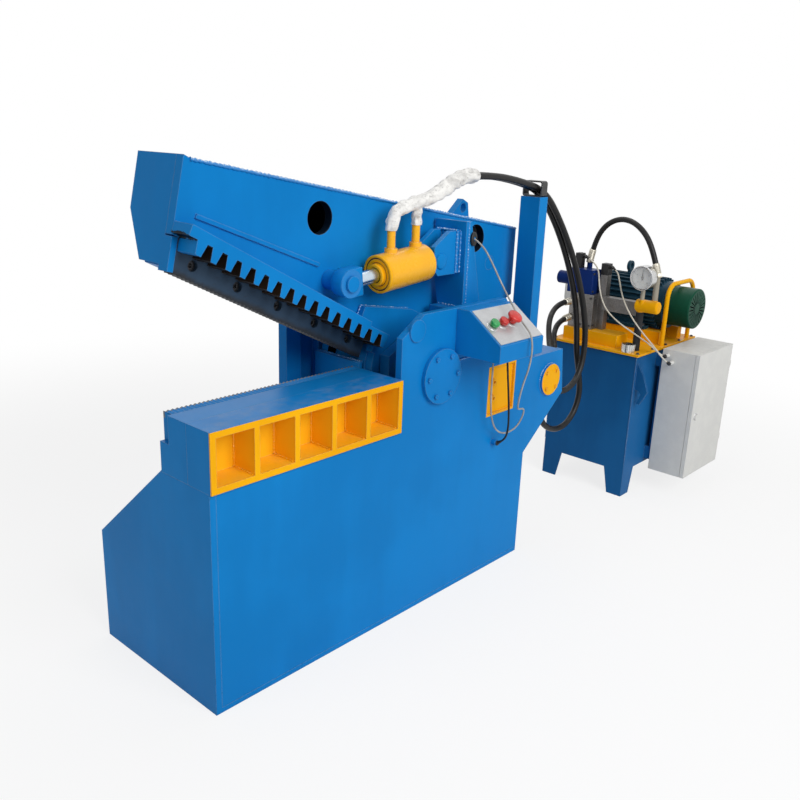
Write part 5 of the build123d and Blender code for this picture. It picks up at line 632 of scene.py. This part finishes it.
def turned(profile, steps=40, ring=False):
    shape = bmesh.new()
    dots = [shape.verts.new((r, 0, h)) for r, h in profile]
    lines = [shape.edges.new(pair) for pair in zip(dots, dots[1:] + dots[:1] if ring else dots[1:])]
    bmesh.ops.spin(shape, geom=dots + lines, cent=(0, 0, 0), axis=(0, 0, 1), angle=math.tau, steps=steps,
                   use_merge=True)
    bmesh.ops.remove_doubles(shape, verts=shape.verts, dist=1e-6)
    bmesh.ops.recalc_face_normals(shape, faces=shape.faces)
    return shape


def hexBlock(radius, height, trim):
    shape = bmesh.new()
    bmesh.ops.create_cone(shape, cap_ends=True, segments=6, radius1=radius, radius2=radius, depth=height,
                          matrix=Matrix.Translation((0, 0, height / 2)))
    rims = [e for e in shape.edges if abs(e.verts[0].co.z - e.verts[1].co.z) < height / 2]
    bmesh.ops.bevel(shape, geom=rims, offset=trim, segments=2, profile=0.5, affect="EDGES", material=-1)
    return shape


def stamp(shape, proto, place, out, stretch=(1, 1, 1)):
    turn = Vector(out).to_track_quat("Z", "Y").to_matrix().to_4x4()
    mesh = bpy.data.meshes.new("stamp")
    proto.to_mesh(mesh)
    mesh.transform(Matrix.Translation(place) @ turn @ Matrix.Diagonal((*stretch, 1)))
    shape.from_mesh(mesh)
    bpy.data.meshes.remove(mesh)


def slab(shape, low, high, trim):
    middle, size = (Vector(low) + Vector(high)) / 2, Vector(high) - Vector(low)
    made = bmesh.ops.create_cube(shape, size=1,
                                 matrix=Matrix.Translation(middle) @ Matrix.Diagonal((*size, 1)))
    edges = list({e for v in made["verts"] for e in v.link_edges})
    bmesh.ops.bevel(shape, geom=edges, offset=trim, segments=2, profile=0.5, affect="EDGES", material=-1)


def socketScrew(r, h):
    return turned(((0, h * 0.4), (r * 0.5, h * 0.4), (r * 0.52, h * 0.96), (r * 0.58, h), (r * 0.9, h),
                   (r, h * 0.9), (r, -h * 0.3)), 24)


def hexBolt(r, h):
    shape = turned(((0, h * 0.2), (r * 1.3, h * 0.2), (r * 1.36, h * 0.12), (r * 1.36, -h * 0.2)), 28)
    stamp(shape, hexBlock(r, h, h * 0.14), (0, 0, h * 0.15), (0, 0, 1))
    return shape


def walkLine(points, pitch):
    line, places = [Vector(p) for p in points], []
    for a, b in zip(line, line[1:]):
        count = max(2, round((b - a).length / pitch))
        places += [a.lerp(b, i / count) for i in range(count)]
    return places + line[-1:]


def circleLine(middle, radius, count=48):
    x, y, z = middle
    turns = [math.tau * i / count for i in range(count + 1)]
    return [(x + radius * math.cos(a), y, z + radius * math.sin(a)) for a in turns]


jawNear, jawFar, deskFoot = -0.0672, 0.1405, 0.838
beadSets = {
    "jaw_beads": {"body": "jaw", "slot": "blue_paint", "finish": "blue_paint_bead", "lines": (
        (0.0055, (jawPoint(-0.976, jawNear, 0.2515), jawPoint(0.417, jawNear, 0.656))),
        (0.0055, (jawPoint(-0.976, jawFar, 0.2515), jawPoint(0.417, jawFar, 0.656))),
        (0.0035, (jawPoint(-0.236, -0.0735, 0.069), jawPoint(-0.236, -0.0735, 0.122),
                  jawPoint(-0.021, -0.0735, 0.187))),
        (0.0035, (jawPoint(-0.955, jawNear, 0.0955), jawPoint(-0.238, jawNear, 0.0805))))},
    "frame_beads": {"body": "root", "slot": "blue_paint", "finish": "blue_paint_bead", "lines": (
        (0.005, ((0.352, -0.1865, 1.103), (0.352, -0.1865, 1.236))),
        (0.005, ((0.370, -0.1865, 1.103), (0.370, -0.1865, 1.236))),
        (0.005, ((0.352, -0.1865, 1.238), (0.352, -0.100, 1.238))),
        (0.005, ((0.370, -0.207, 0.986), (0.370, -0.102, 0.986))),
        (0.005, ((0.388, -0.209, 0.986), (0.463, -0.209, 0.986))),
        (0.0036, ((0.385, -0.2085, 0.990), (0.385, -0.2085, 1.266))),
        (0.004, ((0.332, -0.2555, 0.986), (0.518, -0.2555, 0.986))),
        (0.004, ((-0.700, -0.2805, 0.656), (-0.002, -0.2805, 0.656))),
        (0.004, ((0.800, -0.198, 0.773), (0.850, -0.198, 0.773), (0.850, -0.115, 0.773),
                 (0.800, -0.115, 0.773), (0.800, -0.198, 0.773))),
        (0.003, circleLine((0.832, -0.2805, 0.668), 0.0605)),
        (0.0035, ((0.257, -0.2805, deskFoot), (0.488, -0.2805, deskFoot))),
        (0.004, ((0.054, -0.060, 0.824), (0.054, 0.148, 0.824))))},
    "pocket_beads": {"body": "root", "slot": "yellow_paint", "finish": "yellow_paint_bead", "lines": [
        (0.0038, line) for x in (-0.5668, -0.4296, -0.2924, -0.1552, -0.018)
        for line in (((x, -0.282, 0.674), (x, -0.202, 0.674)), ((x, -0.2005, 0.676), (x, -0.2005, 0.803)))]},
    "tank_beads": {"body": "root", "slot": "tank_blue", "finish": "tank_blue_bead", "lines": (
        *((0.0022, ((x, y, 0.175), (x, y, 0.648))) for x in (1.474, 2.020) for y in (-0.310, 0.105)),
        (0.0026, ((1.474, -0.3105, 0.6495), (2.020, -0.3105, 0.6495))),
        (0.0026, ((1.4735, -0.310, 0.6495), (1.4735, 0.105, 0.6495))))},
}


rippleSet = {"pitch": 0.9, "shortest": 0.002, "swell": (1.08, 0.92, 0.68), "grain": 90, "uneven": 0.3}


def layBeads(name, s, w):
    line = bpy.data.curves.new(name, "CURVE")
    line.dimensions, line.use_fill_caps = "3D", True
    line.bevel_depth, line.bevel_resolution = 1.0, 2
    for radius, points in s["lines"]:
        places = walkLine(points, max(radius * w["pitch"], w["shortest"]))
        run = line.splines.new("POLY")
        run.points.add(len(places) - 1)
        for i, (point, place) in enumerate(zip(run.points, places)):
            point.co = (*place, 1)
            swell = w["swell"][i % len(w["swell"])]
            point.radius = radius * swell * (1 + noise.noise(place * w["grain"]) * w["uneven"])
    probe = bpy.data.objects.new(name, line)
    mesh = bpy.data.meshes.new_from_object(probe)
    bpy.data.objects.remove(probe)
    keepPiece(mesh, name, s["body"], s["slot"], s["finish"], 70)


for beadName, s in beadSets.items():
    layBeads(beadName, s, rippleSet)
print("beads laid")

ribs = tuple((0.006 + 0.002 * i, 0.0159 if i % 2 else 0.0149) for i in range(19))
fittingSets = {
    "hose_fittings": {"slot": "strap_steel", "finish": "fitting_zinc", "nut": (0.0182, 0.019, 0.012),
                      "sides": 28,
                      "profile": ((0.0, 0.0142), (0.004, 0.0153), *ribs, (0.046, 0.0153), (0.049, 0.0136),
                                  (0.05, 0.0121)),
                      "ends": (("near_post_hose", -1), ("far_post_hose", -1), ("high_valve_hose", 1),
                               ("high_valve_hose", -1),
                               ("low_valve_hose", 1), ("low_valve_hose", -1), ("top_hose", 1),
                               ("top_hose", -1))},
    "cable_reliefs": {"slot": "plug_black", "finish": "plug_black", "nut": (0.0092, 0.009, 0.004),
                      "sides": 28,
                      "profile": ((0.0, 0.0072), (0.005, 0.0073), (0.007, 0.0062), (0.018, 0.0047),
                                  (0.022, 0.0036)),
                      "ends": (("first_cable", 1), ("first_cable", -1), ("second_cable", 1),
                               ("second_cable", -1),
                               ("grey_wire", -1), ("black_cable", 1), ("black_cable", -1))},
}


def stepsAlong(points, marks):
    places, gone = [], 0.0
    marks = list(marks)
    for a, b in zip(points, points[1:]):
        step = (b - a).length
        while marks and marks[0] <= gone + step:
            places.append(a.lerp(b, (marks.pop(0) - gone) / step))
        gone += step
    return places


def fitEnds(name, s):
    shape = bmesh.new()
    across, tall, back = s["nut"]
    nut = hexBlock(across, tall, tall * 0.1)
    marks, radii = zip(*s["profile"])
    for cordName, end in s["ends"]:
        points = splinePoints(cordSets[cordName]["route"])[::end]
        out = (points[1] - points[0]).normalized()
        sweepRings(shape, stepsAlong(points, marks), radii, s["sides"])
        stamp(shape, nut, points[0] - out * back, out)
    closeShape(shape)
    bakeShape(shape, name, "root", s["slot"], s["finish"], 35)


for fittingName, s in fittingSets.items():
    fitEnds(fittingName, s)
print("fittings made")

glandSet = {"pin": (0.277, -0.143, 1.145), "axis": (-0.995474, 0.0, -0.095033), "reach": 0.247,
            "plate": ((0.0236, -0.004), (0.0236, 0.015), (0.0255, 0.017), (0.0315, 0.017), (0.0335, 0.015),
                      (0.0338, 0.003), (0.036, 0.0008),
                      (0.0385, 0.0035), (0.0465, 0.004), (0.048, 0.0008), (0.0505, 0.0008), (0.052, 0.0055),
                      (0.057, 0.0055), (0.0592, 0.003), (0.0592, -0.004)),
            "groove": (((0.0337, -0.001), (0.0337, 0.0016), (0.0378, 0.0016), (0.0378, -0.001)),
                       ((0.0474, -0.001), (0.0474, 0.0018), (0.0514, 0.0018), (0.0514, -0.001)))}


def makeGland(s):
    axis = Vector(s["axis"])
    face = Vector(s["pin"]) + axis * s["reach"]
    plate, grooves = bmesh.new(), bmesh.new()
    stamp(plate, turned(s["plate"], 64, True), face, axis)
    for profile in s["groove"]:
        stamp(grooves, turned(profile, 64, True), face, axis)
    bakeShape(plate, "gland_plate", "return_barrel", "yellow_paint")
    bakeShape(grooves, "gland_seals", "return_barrel", "plug_black")


makeGland(glandSet)

eyeSet = {"middle": jawPoint(-0.396, 0, 0.148), "axis": Vector((0.995474, 0, 0.095033)), "radius": 0.0424,
          "reach": 0.047,
          "sides": (-0.1656, -0.1204), "steps": 28, "sharp": 0.6, "trim": 0.0015}


def squareEye(s):  # the rod's eye is squared off towards the rod
    shape, rise = bmesh.new(), Vector((-s["axis"].z, 0, s["axis"].x))
    turns = [math.pi * (0.5 + i / s["steps"]) for i in range(s["steps"] + 1)]
    outline = [(s["radius"] * math.cos(a), s["radius"] * math.sin(a)) for a in turns]
    outline += [(s["reach"], -s["radius"]), (s["reach"], s["radius"])]
    near, far = s["sides"]
    start = s["middle"] + Vector((0, near, 0))
    face = shape.faces.new([shape.verts.new(start + s["axis"] * a + rise * b) for a, b in outline])
    made = bmesh.ops.extrude_face_region(shape, geom=[face])
    moved = [v for v in made["geom"] if isinstance(v, bmesh.types.BMVert)]
    bmesh.ops.translate(shape, vec=(0, far - near, 0), verts=moved)
    bmesh.ops.recalc_face_normals(shape, faces=shape.faces)
    sharp = [e for e in shape.edges if e.calc_face_angle(0) > s["sharp"]]
    bmesh.ops.bevel(shape, geom=sharp, offset=s["trim"], segments=2, profile=0.5, affect="EDGES", material=-1)
    bakeShape(shape, "rod_eye_block", "return_rod", "blue_paint")


squareEye(eyeSet)

pinSets = {
    "bracket_pin_head": {"body": "root", "slot": "blue_paint", "place": (0.277, -0.1855, 1.145),
                         "out": (0, -1, 0),
                         "profile": ((0, 0.006), (0.019, 0.006), (0.0235, 0.0048), (0.0255, 0.002),
                                     (0.0255, -0.003))},
    "wire_grommet": {"body": "root", "slot": "plug_black", "place": (0.406, -0.209, 1.211),
                     "out": (0, -1, 0), "stretch": (1.4, 2.2, 1),
                     "ring": True, "profile": ((0.0038, -0.001), (0.0038, 0.0098), (0.007, 0.0104),
                                               (0.0104, 0.0072), (0.0104, -0.001))},
    "lock_collar": {"body": "cabinet_door", "slot": "gauge_steel", "place": (1.690, -0.5135, 0.3825),
                    "out": (0, -1, 0), "ring": True,
                    "profile": ((0.0125, -0.001), (0.0125, 0.003), (0.014, 0.004), (0.0165, 0.003),
                                (0.0175, -0.001))},
}


def makePin(name, s):
    shape = bmesh.new()
    stamp(shape, turned(s["profile"], 48, s.get("ring", False)), s["place"], s["out"],
          s.get("stretch", (1, 1, 1)))
    bakeShape(shape, name, s["body"], s["slot"])


for pinName, s in pinSets.items():
    makePin(pinName, s)

webSet = {"low": (0.038, -0.062, 0.680), "high": (0.054, 0.150, 0.824), "trim": 0.002}
web = bmesh.new()
slab(web, webSet["low"], webSet["high"], webSet["trim"])
bakeShape(web, "throat_web", "root", "blue_paint")

deskSet = {"middle": Vector((0.3725, -0.394, 0.964)), "out": Vector((0, -0.5836, 0.8120)),
           "slope": Vector((0, 0.8120, 0.5836)),
           "half": (0.1035, 0.0655), "screw": (0.0045, 0.003), "steps": 48,
           "caps": (("start_button", "start_green", -0.082, "cap"),
                    ("stop_button", "stop_red", -0.034, "cap"),
                    ("emergency_stop", "stop_red", 0.014, "mushroom")),
           "cap": ((0, 0.0272), (0.008, 0.027), (0.0128, 0.0263), (0.015, 0.0255), (0.0156, 0.0244),
                   (0.0156, 0.014), (0.015, 0.0134), (0, 0.0134)),
           "mushroom": ((0, 0.0397), (0.009, 0.0394), (0.0165, 0.0388), (0.0215, 0.0378), (0.024, 0.0353),
                        (0.0248, 0.0322), (0.0248, 0.028), (0.024, 0.0271), (0, 0.0271)),
           "collar": ((0.0168, -0.002), (0.0168, 0.0035), (0.0182, 0.005), (0.0205, 0.0042),
                      (0.0215, -0.002))}


def dressDesk(s):
    screws, collars = bmesh.new(), bmesh.new()
    for i in (-1, 1):
        for j in (-1, 1):
            place = s["middle"] + Vector((i * s["half"][0], 0, 0)) + s["slope"] * (j * s["half"][1])
            stamp(screws, socketScrew(*s["screw"]), place, s["out"])
    for name, slotName, x, profile in s["caps"]:
        place = s["middle"] + Vector((x, 0, 0))
        stamp(collars, turned(s["collar"], s["steps"], True), place, s["out"])
        cap = bmesh.new()
        stamp(cap, turned(s[profile], s["steps"]), place, s["out"])
        bakeShape(cap, name + "_cap", name, slotName, smooth=50)
    bakeShape(screws, "desk_screws", "root", "bolt_steel")
    bakeShape(collars, "button_collars", "root", "gauge_steel")


dressDesk(deskSet)

gaugeSet = {"middle": Vector((1.4958, -0.278, 0.983)), "dial": 0.0098, "span": 270, "marks": 41,
            "ticks": ((0.0009, 0.0078), (0.0009, 0.0052), (0.0005, 0.0036)), "tickReach": 0.043,
            "thin": 0.0002,
            "numbers": ("0", "10", "20", "30", "40"), "tall": 0.0072, "ring": 0.029, "lift": 0.0001,
            "steps": 72,
            "plate": ((0, 0.0003), (0.0455, 0.0003), (0.0455, -0.0005)), "inkLift": 0.0004,
            "bezel": ((0.0448, 0.0012), (0.0448, -0.0022), (0.0462, -0.0032), (0.0502, -0.003),
                      (0.0524, -0.0012), (0.0524, 0.006)),
            "glass": ((0, -0.0004), (0.0456, -0.0004), (0.0456, 0.0006), (0, 0.0006))}


def makeGauge(s):
    frontWay = Matrix(((0, 0, -1), (-1, 0, 0), (0, 1, 0))).to_4x4()
    bezel, glass, dial, ink = bmesh.new(), bmesh.new(), bmesh.new(), bmesh.new()
    for shape, profile, ring in ((bezel, s["bezel"], True), (glass, s["glass"], False)):
        stamp(shape, turned([(r, -h) for r, h in profile], s["steps"], ring), s["middle"], (-1, 0, 0))
    stamp(dial, turned(s["plate"], s["steps"]), s["middle"] + Vector((s["dial"], 0, 0)), (-1, 0, 0))
    face = Matrix.Translation(s["middle"] + Vector((s["dial"] - s["inkLift"], 0, 0))) @ frontWay
    for i in range(s["marks"]):
        a = math.radians(s["span"] * (i / (s["marks"] - 1) - 0.5))
        wide, long = s["ticks"][0 if i % 10 == 0 else 1 if i % 5 == 0 else 2]
        way = Vector((math.sin(a), math.cos(a), 0))
        place = face @ Matrix.Translation(way * (s["tickReach"] - long / 2)) @ Matrix.Rotation(-a, 4, "Z")
        bmesh.ops.create_cube(ink, size=1, matrix=place @ Matrix.Diagonal((wide, long, s["thin"], 1)))
    for i, digits in enumerate(s["numbers"]):
        a = math.radians(s["span"] * (i / (len(s["numbers"]) - 1) - 0.5))
        text = bpy.data.curves.new("digits", "FONT")
        text.body, text.size, text.align_x, text.align_y = digits, s["tall"], "CENTER", "CENTER"
        probe = bpy.data.objects.new("digits", text)
        mesh = bpy.data.meshes.new_from_object(probe)
        way = Vector((math.sin(a), math.cos(a), 0)) * s["ring"]
        mesh.transform(face @ Matrix.Translation(way + Vector((0, 0, s["lift"]))))
        ink.from_mesh(mesh)
        bpy.data.objects.remove(probe)
        bpy.data.meshes.remove(mesh)
    bakeShape(bezel, "gauge_bezel", "root", "gauge_steel")
    bakeShape(glass, "gauge_window", "root", "gauge_steel", "gauge_glass")
    bakeShape(dial, "gauge_dial", "root", "gauge_steel", "dial_white")
    bakeShape(ink, "gauge_ink", "root", "needle_black", smooth=0)


makeGauge(gaugeSet)

screwSets = {
    "motor_bolts": {"slot": "bolt_steel", "proto": hexBolt(0.0085, 0.0075), "out": (0, 0, 1),
                    "places": [(x, y, 0.729) for x in (1.745, 1.935) for y in (-0.185, -0.005)]},
    "box_screws": {"slot": "bolt_steel", "proto": socketScrew(0.004, 0.0035), "out": (1, 0, 0),
                   "places": [(2.0185, y, z) for y in (-0.142, -0.048) for z in (0.788, 0.862)]},
    "shield_bolts": {"slot": "bolt_steel", "proto": hexBolt(0.0042, 0.005), "out": (0, -1, 0),
                     "places": [(1.84 + 0.097 * math.cos(a), -0.270, 0.825 + 0.097 * math.sin(a))
                                for a in (0.785, 2.356, 3.927, 5.498)]},
    "valve_screws": {"slot": "bolt_steel", "proto": socketScrew(0.0048, 0.005), "out": (0, -1, 0),
                     "places": [(1.535, -0.048, 0.735), (1.535, -0.048, 0.850), (1.534, -0.030, 0.884),
                                (1.588, -0.030, 0.884), (1.534, -0.030, 0.962)]},
    "block_screws": {"slot": "bolt_steel", "proto": socketScrew(0.005, 0.005), "out": (-1, 0, 0),
                     "places": [(1.522, y, z) for y in (-0.034, 0.010) for z in (0.730, 0.855)]},
    "plug_screws": {"slot": "bolt_steel", "proto": socketScrew(0.0038, 0.003), "out": (0, 0, 1),
                    "places": [(1.571, 0.061, 1.042), (1.580, -0.065, 1.008)]},
    "lid_bolts": {"slot": "bolt_steel", "proto": hexBolt(0.006, 0.0055), "out": (0, 0, 1),
                  "places": [(x, y, 0.660) for x in (1.482, 1.62, 1.745, 1.88, 2.012)
                             for y in (-0.308, 0.102)]},
    "port_screws": {"slot": "bolt_steel", "proto": socketScrew(0.005, 0.005), "out": (0, -1, 0),
                    "places": [(0.896, -0.256, 0.562), (0.896, -0.256, 0.670)]},
}


def setScrews(name, s):
    shape = bmesh.new()
    for place in s["places"]:
        stamp(shape, s["proto"], place, s["out"])
    bakeShape(shape, name, "root", s["slot"], smooth=35)


for screwName, s in screwSets.items():
    setScrews(screwName, s)
print("small pieces made")

floorSet = {"half": 30.0, "near": 1.9, "far": 4.2, "kept": 0.2, "tone": rgb(0.9, 0.9, 0.9)}


def layFloor(s):
    shape = bmesh.new()
    bmesh.ops.create_grid(shape, x_segments=1, y_segments=1, size=s["half"])
    mesh = bpy.data.meshes.new("floor")
    shape.to_mesh(mesh)
    shape.free()
    floor = bpy.data.objects.new("floor", mesh)
    scene.collection.objects.link(floor)
    f = Finish("paleFloor")
    reach = f.node("ShaderNodeVectorMath", {"operation": "LENGTH"}, {0: f.place}, 1)
    ray = f.node("ShaderNodeLightPath", {}, {}, "Is Camera Ray")
    seen = ray + f.node("ShaderNodeLightPath", {}, {}, "Is Glossy Ray")
    seen = seen + f.node("ShaderNodeLightPath", {}, {}, "Is Transmission Ray")
    white = seen * (1 - s["kept"] * f.ramp(reach, s["near"], s["far"], 1.0, 0.0))
    lit = f.node("ShaderNodeBsdfDiffuse", {}, {0: s["tone"]})
    glow = f.node("ShaderNodeEmission", {}, {0: rgb(1, 1, 1), 1: 1.0})
    f.node("ShaderNodeOutputMaterial", {},
           {0: f.node("ShaderNodeMixShader", {}, {0: white, 1: lit, 2: glow})})
    mesh.materials.append(f.material)


layFloor(floorSet)

lightSets = {
    "key": {"place": (-0.35, -4.5, 3.6), "aim": (0.5, 0.0, 0.65), "size": 3.2, "power": 190},
    "fill": {"place": (-3.4, 0.3, 3.3), "aim": (-0.4, 0.0, 1.1), "size": 2.0, "power": 22},
    "top": {"place": (1.2, 0.9, 4.6), "aim": (0.7, 0.0, 0.6), "size": 3.6, "power": 45},
}
worldSet = {"level": 0.26}


def setLights(sets, w):
    for name, s in sets.items():
        lamp = bpy.data.lights.new(name, "AREA")
        lamp.shape, lamp.size, lamp.energy = "SQUARE", s["size"], s["power"]
        holder = bpy.data.objects.new(name, lamp)
        aim = (Vector(s["aim"]) - Vector(s["place"])).to_track_quat("-Z", "Y")
        holder.matrix_world = Matrix.Translation(s["place"]) @ aim.to_matrix().to_4x4()
        scene.collection.objects.link(holder)
    scene.world = bpy.data.worlds.new("studio")
    scene.world.use_nodes = True
    tree = scene.world.node_tree
    ray, level = tree.nodes.new("ShaderNodeLightPath"), tree.nodes["Background"].inputs["Strength"]
    first, both = tree.nodes.new("ShaderNodeMath"), tree.nodes.new("ShaderNodeMath")
    span = tree.nodes.new("ShaderNodeMapRange")
    tree.nodes["Background"].inputs["Color"].default_value = rgb(1, 1, 1)
    tree.links.new(ray.outputs["Is Camera Ray"], first.inputs[0])
    tree.links.new(ray.outputs["Is Glossy Ray"], first.inputs[1])
    tree.links.new(first.outputs[0], both.inputs[0])
    tree.links.new(ray.outputs["Is Transmission Ray"], both.inputs[1])
    tree.links.new(both.outputs[0], span.inputs[0])
    span.inputs[3].default_value, span.inputs[4].default_value = w["level"], 1.0
    tree.links.new(span.outputs[0], level)


setLights(lightSets, worldSet)
print("stage and lights set")
